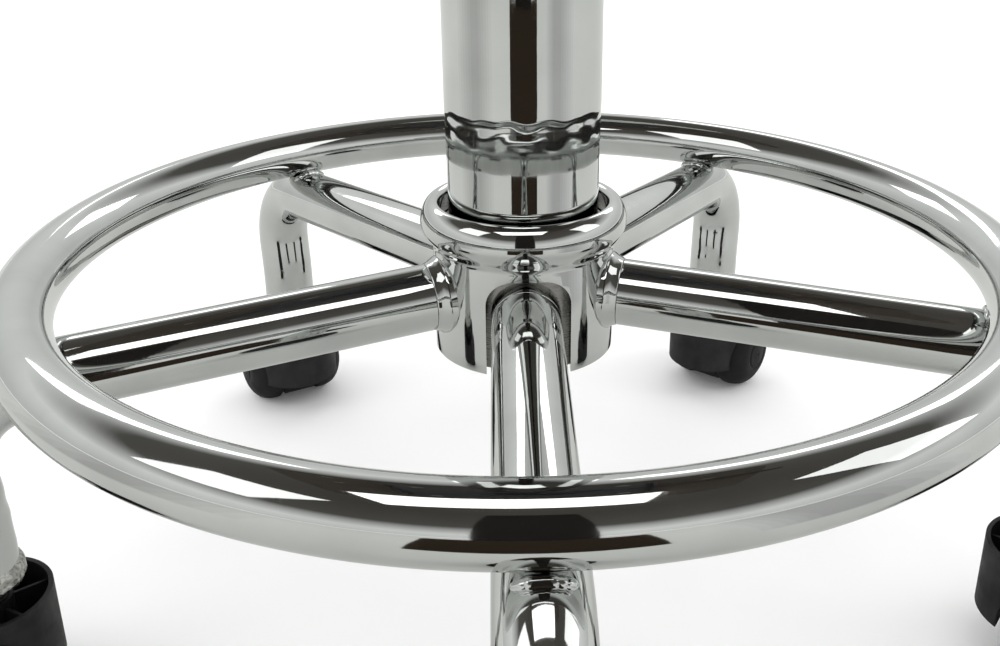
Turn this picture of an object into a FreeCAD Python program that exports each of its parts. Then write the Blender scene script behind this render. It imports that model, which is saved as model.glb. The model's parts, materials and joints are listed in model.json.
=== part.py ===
import FreeCAD, Part
import math
import os

# Drafting chair: five-legged chromed tube base with a foot ring and twin-wheel casters, a gas lift,
# a padded seat and a padded backrest on an adjustable bar.
# Millimetres. Origin on the floor at the column axis, +Z up, the sitter faces -Y.

V = FreeCAD.Vector
X_AXIS = V(1, 0, 0)
Y_AXIS = V(0, 1, 0)
Z_AXIS = V(0, 0, 1)
ORIGIN = V(0, 0, 0)

# ---- driving dimensions --------------------------------------------------------------------------
LEG_COUNT = 5
LEG_STEP = 360.0 / LEG_COUNT
FRONT_LEG_ANGLE = -90.0           # leg_1 points to the front
LEG_WELD_ERROR = (-1.7, 1.0, 1.7, -0.3, -0.7)   # degrees by which each leg is welded off an even fifth
RING_HEIGHT = 130.0               # centre of the foot ring's tube above the floor
RING_RADIUS = 154.5               # to the centre of the tube
RING_TUBE_RADIUS = 9.5            # 19 mm tube
RING_WALL = 1.5
LEG_TUBE_RADIUS = 11.0            # 22 mm tube
LEG_WALL = 1.5
LEG_SLOPE = 3.5                   # degrees below level
LEG_AXIS_DROP = 9.7               # leg axis under the ring's centre plane, at the column axis
LEG_START = 33.3                  # radial place of the tube's inner end
LEG_BEND_RADIUS = 26.0
LEG_CURL = 4.0                    # degrees past vertical after the bend
LEG_CURL_RUN = 12.0
LEG_REVERSE_RADIUS = 60.0
CASTER_CIRCLE_RADIUS = 177.5
LEG_END_HEIGHT = 52.0

HUB_RADIUS = 30.0
HUB_INNER_RADIUS = 27.2
HUB_BOTTOM = 98.0
HUB_TOP = 149.0
COLLAR_RADIUS = 34.0
COLLAR_BOTTOM = 135.0
SLOT_HALF_WIDTH = 13.5            # open slot in the hub's skirt over the front leg
SLOT_TOP = 130.6
SLOT_CORNER = 9.0
NECK_HOLE_RADIUS = 12.5           # round opening in the skirt for each of the other legs
COLUMN_RADIUS = 25.0              # 50 mm column tube
COLUMN_WALL = 2.0
COLUMN_BOTTOM = 101.0
COLUMN_TOP = 435.0
SHOULDER_HEIGHT = 176.5

CYLINDER_RADIUS = 14.0
CYLINDER_BOTTOM = 150.0
CYLINDER_TOP = 498.0
ROD_RADIUS = 5.0
RUNNING_GAP = 0.05

PLATE_BOTTOM = 514.0
PLATE_THICKNESS = 3.0
BOARD_THICKNESS = 12.0
SEAT_WIDTH = 430.0
SEAT_DEPTH = 420.0
CUSHION_THICKNESS = 76.0
PLATE_TOP = PLATE_BOTTOM + PLATE_THICKNESS
BOARD_TOP = PLATE_TOP + BOARD_THICKNESS
SEAT_TOP = BOARD_TOP + CUSHION_THICKNESS

BACK_WIDTH = 400.0
BACK_HEIGHT = 290.0
BACK_CURVE_RADIUS = 700.0
BACK_CUSHION_THICKNESS = 52.0
BACK_PIVOT_Y = 221.0
BACK_PIVOT_Z = SEAT_TOP + 255.0
BAR_WIDTH = 50.0
BAR_THICKNESS = 8.0
BAR_Z = 507.0                     # centre of the level part of the bar
BAR_Y = 250.0                     # centre of the upright part of the bar
SLIDE_GAP = 0.2

# ---- shared shapes -------------------------------------------------------------------------------


def cylinder(radius, low, high, x=0.0, y=0.0):
    return Part.makeCylinder(radius, high - low, V(x, y, low))


def tube(outer, inner, low, high, x=0.0, y=0.0):
    return cylinder(outer, low, high, x, y).cut(cylinder(inner, low - 1, high + 1, x, y))


def rod_x(radius, start, end, y, z):
    return Part.makeCylinder(radius, end - start, V(start, y, z), X_AXIS)


def rod_y(radius, start, end, x, z):
    return Part.makeCylinder(radius, end - start, V(x, start, z), Y_AXIS)


def block(x_span, y_span, z_span):
    low = V(x_span[0], y_span[0], z_span[0])
    size = [span[1] - span[0] for span in (x_span, y_span, z_span)]
    return Part.makeBox(size[0], size[1], size[2], low)


def revolved(outline):
    """Solid of revolution about Z from a closed outline of (radius, height) points."""
    points = [V(radius, 0, height) for radius, height in outline]
    wire = Part.makePolygon(points + points[:1])
    return Part.Face(wire).revolve(ORIGIN, Z_AXIS, 360)


def revolved_edges(edges):
    return Part.Face(Part.Wire(edges)).revolve(ORIGIN, Z_AXIS, 360)


def line(start, end):
    return Part.makeLine(V(start[0], 0, start[1]), V(end[0], 0, end[1]))


def arc(start, middle, end):
    points = [V(radius, 0, height) for radius, height in (start, middle, end)]
    return Part.Arc(*points).toShape()


def turned(shape, angle, axis=Z_AXIS, centre=ORIGIN):
    copy = shape.copy()
    copy.rotate(centre, axis, angle)
    return copy


def moved(shape, x, y, z):
    copy = shape.copy()
    copy.translate(V(x, y, z))
    return copy


def fused(shapes):
    whole = shapes[0].multiFuse(shapes[1:])
    return whole.removeSplitter()


def rounded_slab(width, depth, corner, low, high, y_centre=0.0):
    slab = block((-width / 2, width / 2), (y_centre - depth / 2, y_centre + depth / 2), (low, high))
    uprights = [edge for edge in slab.Edges if abs(edge.tangentAt(edge.FirstParameter).z) > 0.9]
    return slab.makeFillet(corner, uprights)


def swept_tube(path, radius, wall=0.0):
    """Round tube, or solid rod where wall is 0, along a wire that starts at its first vertex."""
    start = path.Edges[0].valueAt(path.Edges[0].FirstParameter)
    heading = path.Edges[0].tangentAt(path.Edges[0].FirstParameter)
    outer = path.makePipeShell([Part.Wire(Part.makeCircle(radius, start, heading))], True, False)
    if wall == 0.0:
        return outer
    inner = path.makePipeShell([Part.Wire(Part.makeCircle(radius - wall, start, heading))], True, False)
    return outer.cut(inner)


def flat_path(start, heading, steps):
    """Wire in the XZ plane: each step is (length,) for a run or (radius, turn) for an arc, degrees."""
    edges = []
    x, z = start
    for step in steps:
        if len(step) == 1:
            end = (x + step[0] * math.cos(math.radians(heading)),
                   z + step[0] * math.sin(math.radians(heading)))
            edges.append(line((x, z), end))
        else:
            radius, turn = step
            side = math.copysign(90.0, turn)
            cx = x + radius * math.cos(math.radians(heading + side))
            cz = z + radius * math.sin(math.radians(heading + side))
            spots = [(cx + radius * math.cos(math.radians(heading - side + turn * part)),
                      cz + radius * math.sin(math.radians(heading - side + turn * part)))
                     for part in (0.5, 1.0)]
            edges.append(arc((x, z), spots[0], spots[1]))
            end = spots[1]
            heading += turn
        x, z = end
    return Part.Wire(edges), (x, z)


def group(shapes):
    return Part.makeCompound(shapes)


def leg_angle(number):
    return FRONT_LEG_ANGLE + (number - 1) * LEG_STEP + LEG_WELD_ERROR[number - 1]


def on_every_leg(shape):
    return group([turned(shape, leg_angle(number)) for number in range(1, LEG_COUNT + 1)])


parts = {}

# ---- base: ring, legs, hub -----------------------------------------------------------------------


def leg_axis_height(radial):
    return RING_HEIGHT - LEG_AXIS_DROP - radial * math.tan(math.radians(LEG_SLOPE))


def leg_path():
    """Centre line of a leg that points along +X: sloping run, bend down, slight curl, upright end."""
    bend = (LEG_BEND_RADIUS, -(90.0 - LEG_SLOPE + LEG_CURL))
    tail = [bend, (LEG_CURL_RUN,), (LEG_REVERSE_RADIUS, LEG_CURL)]
    start = (LEG_START, leg_axis_height(LEG_START))
    trial = flat_path(start, -LEG_SLOPE, tail)[1]
    run = (CASTER_CIRCLE_RADIUS - trial[0]) / math.cos(math.radians(LEG_SLOPE))
    drop = flat_path(start, -LEG_SLOPE, [(run,)] + tail)[1][1] - LEG_END_HEIGHT
    return flat_path(start, -LEG_SLOPE, [(run,)] + tail + [(drop,)])[0]


ring = Part.makeTorus(RING_RADIUS, RING_TUBE_RADIUS, V(0, 0, RING_HEIGHT))
parts["foot_ring"] = ring.cut(Part.makeTorus(RING_RADIUS, RING_TUBE_RADIUS - RING_WALL, V(0, 0, RING_HEIGHT)))
leg = swept_tube(leg_path(), LEG_TUBE_RADIUS, LEG_WALL).cut(ring)
for number in range(1, LEG_COUNT + 1):
    parts["leg_%d" % number] = turned(leg, leg_angle(number))


def ring_weld():
    """Two beads where the ring sits in its saddle on a leg, one inside the ring and one outside."""
    bead_radius = 2.4
    half_length = 6.0
    offset = 6.6
    solid_leg = swept_tube(leg_path(), LEG_TUBE_RADIUS)
    beads = []
    for side in (-1, 1):
        x = RING_RADIUS + side * offset
        bead = rod_y(bead_radius, -half_length, half_length, x, leg_axis_height(x) + LEG_TUBE_RADIUS)
        rims = [edge for edge in bead.Edges if edge.BoundBox.YLength < 0.01]
        beads.append(bead.makeFillet(2.0, rims).cut(ring).cut(solid_leg))
    return group(beads)


parts["ring_welds"] = on_every_leg(ring_weld())


def hub_shell():
    """Skirt with a rolled collar on top, an open slot over the front leg and holes for the others."""
    collar_middle = (COLLAR_BOTTOM + HUB_TOP) / 2 - 0.5
    lip_radius = COLLAR_RADIUS - 3.4
    shoulder_radius = COLLAR_RADIUS - 0.9
    mouth_radius = HUB_INNER_RADIUS + 0.4
    mouth_height = HUB_TOP - 2.5
    edges = [
        line((HUB_INNER_RADIUS, HUB_BOTTOM), (HUB_RADIUS, HUB_BOTTOM)),
        line((HUB_RADIUS, HUB_BOTTOM), (HUB_RADIUS, COLLAR_BOTTOM)),
        arc((HUB_RADIUS, COLLAR_BOTTOM), (shoulder_radius, COLLAR_BOTTOM + 2.6),
            (COLLAR_RADIUS, collar_middle)),
        arc((COLLAR_RADIUS, collar_middle), (shoulder_radius, HUB_TOP - 2.4), (lip_radius, HUB_TOP)),
        arc((lip_radius, HUB_TOP), (mouth_radius + 1.0, HUB_TOP - 0.6), (mouth_radius, mouth_height)),
        line((mouth_radius, mouth_height), (mouth_radius, COLLAR_BOTTOM + 4)),
        line((mouth_radius, COLLAR_BOTTOM + 4), (HUB_INNER_RADIUS, COLLAR_BOTTOM + 4)),
        line((HUB_INNER_RADIUS, COLLAR_BOTTOM + 4), (HUB_INNER_RADIUS, HUB_BOTTOM)),
    ]
    shell = revolved_edges(edges)
    reach = (HUB_INNER_RADIUS - 10, COLLAR_RADIUS + 10)
    slot = block(reach, (-SLOT_HALF_WIDTH, SLOT_HALF_WIDTH), (HUB_BOTTOM - 1, SLOT_TOP))
    top_edges = [edge for edge in slot.Edges
                 if edge.BoundBox.ZMin > SLOT_TOP - 0.1 and edge.BoundBox.YLength < 0.01]
    slot = slot.makeFillet(SLOT_CORNER, top_edges)
    hole = rod_x(NECK_HOLE_RADIUS, reach[0], reach[1], 0, leg_axis_height(HUB_RADIUS))
    holes = [turned(hole, leg_angle(number)) for number in range(2, LEG_COUNT + 1)]
    return shell.cut([turned(slot, FRONT_LEG_ANGLE)] + holes)


def column_radius(height):
    """Outer radius of the tapered lower end of the column."""
    return 24.0 + 0.85 * (height - COLUMN_BOTTOM) / (SHOULDER_HEIGHT - COLUMN_BOTTOM)


SOCKET_TOP = 141.0
SOCKET_RADIUS = HUB_INNER_RADIUS - 0.2


def hub_socket():
    return revolved([
        (column_radius(HUB_BOTTOM + 3) + RUNNING_GAP, HUB_BOTTOM + 1), (SOCKET_RADIUS, HUB_BOTTOM + 1),
        (SOCKET_RADIUS, SOCKET_TOP), (column_radius(SOCKET_TOP) + RUNNING_GAP, SOCKET_TOP)])


def leg_neck(saddle):
    """Neck, welded to the socket, that plugs into the inner end of a leg. Along +X.

    A neck that passes through a hole in the skirt also has a flared saddle against the skirt.
    """
    length = 6.2
    root_radius = LEG_TUBE_RADIUS + 1.2 if saddle else LEG_TUBE_RADIUS
    plug_radius = LEG_TUBE_RADIUS - LEG_WALL
    plug_end = 14.0
    neck = revolved([(0.0, 0.0), (root_radius, 0.0), (root_radius, 3.4), (LEG_TUBE_RADIUS, length),
                     (plug_radius, length), (plug_radius, plug_end), (0.0, plug_end)])
    root = LEG_START - length * math.cos(math.radians(LEG_SLOPE))
    neck = moved(turned(neck, 90 + LEG_SLOPE, Y_AXIS), root, 0, leg_axis_height(root))
    neck = neck.cut(cylinder(SOCKET_RADIUS, HUB_BOTTOM - 20, HUB_TOP + 20))
    if saddle:
        flare = revolved([(8.0, -4.0), (14.4, -4.0), (14.4, 3.2), (12.9, 4.0), (11.8, 5.0),
                          (11.2, length), (8.0, length)])
        flare = moved(turned(flare, 90 + LEG_SLOPE, Y_AXIS), root, 0, leg_axis_height(root))
        neck = neck.fuse(flare.cut(cylinder(HUB_RADIUS + RUNNING_GAP, HUB_BOTTOM - 20, HUB_TOP + 20)))
    return neck.removeSplitter()


parts["hub_shell"] = hub_shell()
parts["hub_socket"] = hub_socket()
necks = [turned(leg_neck(number > 1), leg_angle(number)) for number in range(1, LEG_COUNT + 1)]
parts["leg_necks"] = group(necks)

# ---- casters -------------------------------------------------------------------------------------
WHEEL_RADIUS = 18.0
WHEEL_INNER = 7.9
WHEEL_OUTER = 22.8
TRAIL = 10.5                      # axle behind the swivel axis
AXLE_RADIUS = 2.5
AXLE_REACH = 20.0
HOOD_RADIUS = 19.0
HOOD_WALL = 1.5
HOOD_BOTTOM = 15.0
HOOD_FLOOR = 20.0
HOOD_RIM = 41.0
WEB_HALF = 7.2
STEM_RADIUS = 4.0
STEM_TIP = 21.0
BOSS_TOP = 40.0
STEM_SHOULDER = 40.3
PLUG_FLANGE_RADIUS = 12.4
PLUG_FLANGE_BOTTOM = 46.0
THREAD_RADIUS = 5.0
CASTER_YAW = {1: 14.0, 2: -24.0, 3: -8.0, 4: -9.0, 5: 19.0}   # turn of each caster from its leg


def wheel_wells(gap, web):
    """Both wheels' space, grown by gap, outside the web. The axle lies along X."""
    reach = WHEEL_OUTER + 8
    spans = ((web, reach), (-reach, -web))
    return fused([rod_x(WHEEL_RADIUS + gap, low, high, -TRAIL, WHEEL_RADIUS) for low, high in spans])


def caster_hood():
    """Open-topped round hood with a web between the wheels that carries the axle and the stem."""
    cup = cylinder(HOOD_RADIUS, HOOD_BOTTOM, HOOD_RIM)
    fender = rod_x(WHEEL_RADIUS - 0.5, -WEB_HALF, WEB_HALF, -TRAIL, WHEEL_RADIUS)
    fender = fender.common(block((-WEB_HALF, WEB_HALF), (-2 * WHEEL_RADIUS - TRAIL, 0), (4.0, HOOD_RIM)))
    pocket = cylinder(HOOD_RADIUS - HOOD_WALL, HOOD_FLOOR, HOOD_RIM + 1)
    pocket = pocket.cut(wheel_wells(2.0, WEB_HALF - 1.2))
    pocket = pocket.cut(cylinder(WEB_HALF, 0, BOSS_TOP))
    pocket = pocket.cut(block((-WEB_HALF, WEB_HALF), (-HOOD_RADIUS, 0), (0, BOSS_TOP - 2)))
    for angle in (25, 90, 155):
        rib = block((0, HOOD_RADIUS), (-0.5, 0.5), (0, HOOD_RIM - 3))
        pocket = pocket.cut(turned(rib, angle))
    hood = cup.fuse(fender).cut(wheel_wells(0.8, WEB_HALF)).cut(pocket)
    hood = hood.cut(cylinder(STEM_RADIUS + RUNNING_GAP, STEM_TIP - 0.5, HOOD_RIM + 1))
    hood = hood.cut(rod_x(AXLE_RADIUS, -HOOD_RADIUS, HOOD_RADIUS, -TRAIL, WHEEL_RADIUS))
    return max(hood.Solids, key=lambda solid: solid.Volume)


def caster_wheel(side):
    """Nylon wheel with a domed outer face, on one end of the axle."""
    bore = AXLE_RADIUS + RUNNING_GAP
    bore_end = AXLE_REACH + 0.4
    wheel = revolved([
        (0, bore_end), (bore, bore_end), (bore, WHEEL_INNER), (WHEEL_RADIUS - 1.5, WHEEL_INNER),
        (WHEEL_RADIUS, WHEEL_INNER + 1.5), (WHEEL_RADIUS, WHEEL_OUTER - 9.5),
        (WHEEL_RADIUS - 1.2, WHEEL_OUTER - 5.6), (WHEEL_RADIUS - 3.8, WHEEL_OUTER - 2.8),
        (WHEEL_RADIUS - 7.2, WHEEL_OUTER - 1.0), (WHEEL_RADIUS - 11, WHEEL_OUTER - 0.3),
        (6, WHEEL_OUTER), (0, WHEEL_OUTER)])
    return moved(turned(wheel, 90 * side, Y_AXIS), 0, -TRAIL, WHEEL_RADIUS)


def caster_stem():
    """Swivel stem: pin in the hood, shoulder, and thread up into the leg's plug."""
    return revolved([(0, STEM_TIP), (STEM_RADIUS, STEM_TIP), (STEM_RADIUS, STEM_SHOULDER), (6, STEM_SHOULDER),
                     (6, PLUG_FLANGE_BOTTOM), (THREAD_RADIUS, PLUG_FLANGE_BOTTOM), (THREAD_RADIUS, 71),
                     (THREAD_RADIUS - 1, 72), (0, 72)])


def leg_plug():
    """Flanged plug in the open end of a leg, with the stem's threaded bore."""
    body = LEG_TUBE_RADIUS - LEG_WALL - 0.1
    return revolved([(THREAD_RADIUS, PLUG_FLANGE_BOTTOM), (PLUG_FLANGE_RADIUS - 1, PLUG_FLANGE_BOTTOM),
                     (PLUG_FLANGE_RADIUS, PLUG_FLANGE_BOTTOM + 1.5),
                     (PLUG_FLANGE_RADIUS, LEG_END_HEIGHT - 1.5), (PLUG_FLANGE_RADIUS - 1, LEG_END_HEIGHT),
                     (body, LEG_END_HEIGHT), (body, 68), (THREAD_RADIUS, 68)])


def at_leg_end(shape, number, yaw):
    """Place a shape built around Z at the foot of a leg, with its -Y side turned outward plus yaw."""
    placed = moved(turned(shape, 90 + yaw), CASTER_CIRCLE_RADIUS, 0, 0)
    return turned(placed, leg_angle(number))


legs = range(1, LEG_COUNT + 1)
parts["leg_plugs"] = group([at_leg_end(leg_plug(), number, 0) for number in legs])
parts["caster_stems"] = group([at_leg_end(caster_stem(), number, 0) for number in legs])
hood = caster_hood()
axle = rod_x(AXLE_RADIUS, -AXLE_REACH, AXLE_REACH, -TRAIL, WHEEL_RADIUS)
wheels = {"left": caster_wheel(-1), "right": caster_wheel(1)}
for number in legs:
    yaw = CASTER_YAW[number]
    parts["caster_%d_hood" % number] = at_leg_end(hood, number, yaw)
    parts["caster_%d_axle" % number] = at_leg_end(axle, number, yaw)
    for side, wheel in wheels.items():
        parts["caster_%d_wheel_%s" % (number, side)] = at_leg_end(wheel, number, yaw)

# ---- column and gas lift -------------------------------------------------------------------------
COLUMN_BORE = COLUMN_RADIUS - COLUMN_WALL
COLUMN_FLOOR = 3.0
BEARING_LOW = COLUMN_BOTTOM + COLUMN_FLOOR
RACE_THICKNESS = 1.4
BALL_RADIUS = 1.6
BEARING_HIGH = BEARING_LOW + 2 * RACE_THICKNESS + 2 * BALL_RADIUS
PISTON_LOW = 384.0
PISTON_HIGH = 396.0
GUIDE_LOW = 300.0
CYLINDER_BORE = 12.5
TAPER_LOW = 438.0
TAPER_TOP_RADIUS = 13.2
PIN_RADIUS = 3.0


def column_tube():
    """Column with a swaged shoulder above the tapered end that wedges in the hub."""
    bottom = column_radius(COLUMN_BOTTOM)
    neck = column_radius(SHOULDER_HEIGHT)
    return revolved([
        (ROD_RADIUS + 0.3, COLUMN_BOTTOM), (bottom, COLUMN_BOTTOM), (neck, SHOULDER_HEIGHT - 3.5),
        (neck - 0.25, SHOULDER_HEIGHT - 0.5), (neck - 0.1, SHOULDER_HEIGHT + 1.5),
        (COLUMN_RADIUS, SHOULDER_HEIGHT + 5), (COLUMN_RADIUS, COLUMN_TOP),
        (COLUMN_BORE, COLUMN_TOP), (COLUMN_BORE, SHOULDER_HEIGHT + 5),
        (bottom - COLUMN_WALL, BEARING_LOW), (ROD_RADIUS + 0.3, BEARING_LOW)])


def guide_bush():
    return revolved([(CYLINDER_RADIUS + RUNNING_GAP, GUIDE_LOW), (COLUMN_BORE, GUIDE_LOW),
                     (COLUMN_BORE, COLUMN_TOP), (COLUMN_RADIUS - 0.3, COLUMN_TOP),
                     (COLUMN_RADIUS - 0.8, COLUMN_TOP + 2.5),
                     (CYLINDER_RADIUS + RUNNING_GAP, COLUMN_TOP + 2.5)])


def thrust_bearing():
    """Two races and a ring of balls under the rod's shoulder."""
    pitch_radius = 9.4
    ball_count = 10
    races = [tube(13.5, ROD_RADIUS + 0.3, low, low + RACE_THICKNESS)
             for low in (BEARING_LOW, BEARING_HIGH - RACE_THICKNESS)]
    ball = Part.makeSphere(BALL_RADIUS - 0.02, V(pitch_radius, 0, (BEARING_LOW + BEARING_HIGH) / 2))
    return group(races + [turned(ball, 360.0 / ball_count * index) for index in range(ball_count)])


def piston_rod():
    groove = 3.8
    shoulder = BEARING_HIGH + 0.1
    return revolved([(0, HUB_BOTTOM - 1.5), (ROD_RADIUS, HUB_BOTTOM - 1.5), (ROD_RADIUS, HUB_BOTTOM + 0.5),
                     (groove, HUB_BOTTOM + 0.5), (groove, HUB_BOTTOM + 1.8), (ROD_RADIUS, HUB_BOTTOM + 1.8),
                     (ROD_RADIUS, shoulder), (9.0, shoulder), (9.0, shoulder + 3), (ROD_RADIUS, shoulder + 3),
                     (ROD_RADIUS, PISTON_HIGH), (0, PISTON_HIGH)])


def retaining_clip():
    """E-shaped clip in the rod's groove, under the column's floor."""
    ring_part = tube(8.5, 3.8, HUB_BOTTOM + 0.55, HUB_BOTTOM + 1.75)
    return ring_part.cut(block((-2.6, 2.6), (-9, 0), (HUB_BOTTOM, HUB_BOTTOM + 3)))


def gas_cylinder():
    head = 470.0
    chamber_top = 440.0
    return revolved([
        (7.0, CYLINDER_BOTTOM), (CYLINDER_RADIUS - 1, CYLINDER_BOTTOM),
        (CYLINDER_RADIUS, CYLINDER_BOTTOM + 1), (CYLINDER_RADIUS, TAPER_LOW),
        (TAPER_TOP_RADIUS, CYLINDER_TOP - 1), (TAPER_TOP_RADIUS - 1, CYLINDER_TOP),
        (PIN_RADIUS + RUNNING_GAP, CYLINDER_TOP), (PIN_RADIUS + RUNNING_GAP, head - 6), (0, head - 6),
        (0, chamber_top), (CYLINDER_BORE, chamber_top), (CYLINDER_BORE, CYLINDER_BOTTOM + 2),
        (7.0, CYLINDER_BOTTOM + 2)])


parts["column_tube"] = column_tube()
parts["guide_bush"] = guide_bush()
parts["thrust_bearing"] = thrust_bearing()
parts["piston_rod"] = piston_rod()
parts["retaining_clip"] = retaining_clip()
parts["piston"] = tube(CYLINDER_BORE - 0.06, ROD_RADIUS, PISTON_LOW, PISTON_HIGH)
parts["gas_cylinder"] = gas_cylinder()
parts["rod_guide"] = tube(CYLINDER_BORE, ROD_RADIUS + RUNNING_GAP, CYLINDER_BOTTOM + 2, CYLINDER_BOTTOM + 20)
parts["release_pin"] = cylinder(PIN_RADIUS, 470.0, CYLINDER_TOP + 3.9)

# ---- seat mechanism ------------------------------------------------------------------------------
HOUSING_HALF_X = 35.0
HOUSING_HALF_Y = 38.0
HOUSING_BOTTOM = 484.0
HOUSING_WALL = 2.5
PLATE_HALF_X = 105.0
PLATE_FRONT = -100.0
PLATE_BACK = 125.0
LEVER_RADIUS = 4.0
LEVER_Z = 506.5
LEVER_PIVOT_X = 22.0
LEVER_PIN_RADIUS = 2.5
SLEEVE_WALL = 3.0
SLEEVE_FRONT = 42.0
SLEEVE_BACK = 122.0
SLEEVE_BOTTOM = BAR_Z - BAR_THICKNESS / 2 - SLIDE_GAP - SLEEVE_WALL
SEAT_BOLT_X = 80.0
SEAT_BOLT_Y = 85.0
M6_RADIUS = 3.0
KNOB_Y = 92.0


def corners(x, y):
    return [(side_x * x, side_y * y) for side_x in (-1, 1) for side_y in (-1, 1)]


def seat_plate():
    """Pressed plate with flanges turned down along both sides, screwed under the seat board."""
    plate = block((-PLATE_HALF_X, PLATE_HALF_X), (PLATE_FRONT, PLATE_BACK), (PLATE_BOTTOM, PLATE_TOP))
    uprights = [edge for edge in plate.Edges if abs(edge.tangentAt(edge.FirstParameter).z) > 0.9]
    plate = plate.makeFillet(14, uprights)
    for side in (-1, 1):
        low, high = sorted((side * PLATE_HALF_X, side * (PLATE_HALF_X - PLATE_THICKNESS)))
        flange = block((low, high), (PLATE_FRONT + 18, PLATE_BACK - 18), (PLATE_BOTTOM - 12, PLATE_TOP))
        plate = plate.fuse(flange)
    for x, y in corners(SEAT_BOLT_X, SEAT_BOLT_Y):
        plate = plate.cut(cylinder(M6_RADIUS + 0.3, PLATE_BOTTOM - 1, PLATE_TOP + 1, x, y))
    return plate.removeSplitter()


def mechanism_housing():
    """Box under the plate around the valve, with the tapered socket that grips the gas cylinder."""
    shell = block((-HOUSING_HALF_X, HOUSING_HALF_X), (-HOUSING_HALF_Y, HOUSING_HALF_Y),
                  (HOUSING_BOTTOM, PLATE_BOTTOM))
    inner_x = HOUSING_HALF_X - HOUSING_WALL
    inner_y = HOUSING_HALF_Y - HOUSING_WALL
    shell = shell.cut(block((-inner_x, inner_x), (-inner_y, inner_y),
                            (HOUSING_BOTTOM + HOUSING_WALL, PLATE_BOTTOM + 1)))
    socket = cylinder(19.0, TAPER_LOW + 6, CYLINDER_TOP - 6)
    whole = shell.fuse(socket)
    slope = (CYLINDER_RADIUS - TAPER_TOP_RADIUS) / (CYLINDER_TOP - 1 - TAPER_LOW)
    low = TAPER_LOW + 4
    high = CYLINDER_TOP
    wide = CYLINDER_RADIUS - slope * (low - TAPER_LOW) + 0.02
    narrow = CYLINDER_RADIUS - slope * (high - TAPER_LOW) + 0.02
    whole = whole.cut(Part.makeCone(wide, narrow, high - low, V(0, 0, low)))
    whole = whole.cut(block((inner_x - 2, HOUSING_HALF_X + 2), (-6, 6), (LEVER_Z - 7, PLATE_BOTTOM - 1)))
    for side in (-1, 1):
        low_y, high_y = sorted((side * 6.0, side * 9.0))
        ear = block((LEVER_PIVOT_X - 6, LEVER_PIVOT_X + 6), (low_y, high_y),
                    (HOUSING_BOTTOM + 1, PLATE_BOTTOM))
        whole = whole.fuse(ear)
    return whole.cut(rod_y(LEVER_PIN_RADIUS, -12, 12, LEVER_PIVOT_X, LEVER_Z)).removeSplitter()


def lift_lever():
    """Bent rod: over the valve pin, out through the housing, down and along to its handle."""
    bend = 20.0
    angle = 38.0
    steps = [(50.0,), (bend, -angle), (24.0,), (bend, angle), (78.0,)]
    path, end = flat_path((-7.0, LEVER_Z), 0.0, steps)
    rod = swept_tube(path, LEVER_RADIUS)
    rod = rod.cut(rod_y(LEVER_PIN_RADIUS + RUNNING_GAP, -9, 9, LEVER_PIVOT_X, LEVER_Z))
    return rod, end


def lever_handle(end):
    """Flat plastic paddle pressed over the lever's end."""
    x, z = end
    paddle = block((x - 20, x + 42), (-11, 11), (z - 6.5, z + 6.5))
    long_edges = [edge for edge in paddle.Edges if edge.Length > 50]
    paddle = paddle.makeFillet(5.5, long_edges)
    return paddle.cut(rod_x(LEVER_RADIUS, x - 21, x, 0, z))


def bar_sleeve():
    """Rectangular guide under the plate in which the back bar slides."""
    half = BAR_WIDTH / 2 + SLIDE_GAP
    low = SLEEVE_BOTTOM + SLEEVE_WALL
    high = BAR_Z + BAR_THICKNESS / 2 + SLIDE_GAP
    sleeve = block((-half - SLEEVE_WALL, half + SLEEVE_WALL), (SLEEVE_FRONT, SLEEVE_BACK),
                   (SLEEVE_BOTTOM, PLATE_BOTTOM))
    sleeve = sleeve.cut(block((-half, half), (SLEEVE_FRONT - 1, SLEEVE_BACK + 1), (low, high)))
    nut = cylinder(8.0, SLEEVE_BOTTOM - 5, SLEEVE_BOTTOM, 0, KNOB_Y)
    return sleeve.fuse(nut).cut(cylinder(4.0 + RUNNING_GAP, SLEEVE_BOTTOM - 6, low + 0.1, 0, KNOB_Y))


def star_knob(shaft_length):
    """Lobed clamping knob on a threaded shaft; shaft up +Z, its tip at height 0."""
    knob_radius = 19.0
    knob_height = 16.0
    lobes = 6
    collar_gap = 6.0
    top = -shaft_length + collar_gap
    body = cylinder(knob_radius, top - knob_height, top)
    for index in range(lobes):
        angle = math.radians(360.0 / lobes * index)
        spot = (knob_radius + 4.5) * math.cos(angle), (knob_radius + 4.5) * math.sin(angle)
        body = body.cut(cylinder(8.0, top - knob_height - 1, top + 1, spot[0], spot[1]))
    rims = [edge for edge in body.Edges if abs(edge.BoundBox.ZLength) < 0.01]
    body = body.makeFillet(1.5, rims)
    return body.fuse([cylinder(8.5, top, top + 2), cylinder(4.0, top, 0)])


def seat_bolts():
    """Four hexagon-head M6 screws through the plate into the seat board."""
    bolts = []
    for x, y in corners(SEAT_BOLT_X, SEAT_BOLT_Y):
        points = [V(x + 5.77 * math.cos(math.radians(60 * k)), y + 5.77 * math.sin(math.radians(60 * k)),
                    PLATE_BOTTOM - 4) for k in range(6)]
        head = Part.Face(Part.makePolygon(points + points[:1])).extrude(V(0, 0, 4))
        bolts.append(head.fuse(cylinder(M6_RADIUS, PLATE_BOTTOM - 1, BOARD_TOP - 2, x, y)))
    return group(bolts)


parts["seat_plate"] = seat_plate()
parts["mechanism_housing"] = mechanism_housing()
lever, lever_end = lift_lever()
parts["lift_lever"] = lever
parts["lever_handle"] = lever_handle(lever_end)
parts["lever_pin"] = rod_y(LEVER_PIN_RADIUS, -9.5, 9.5, LEVER_PIVOT_X, LEVER_Z)
parts["bar_sleeve"] = bar_sleeve()
parts["depth_knob"] = moved(star_knob(24.0), 0, KNOB_Y, BAR_Z - BAR_THICKNESS / 2 - 0.4)
parts["seat_bolts"] = seat_bolts()

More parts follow.
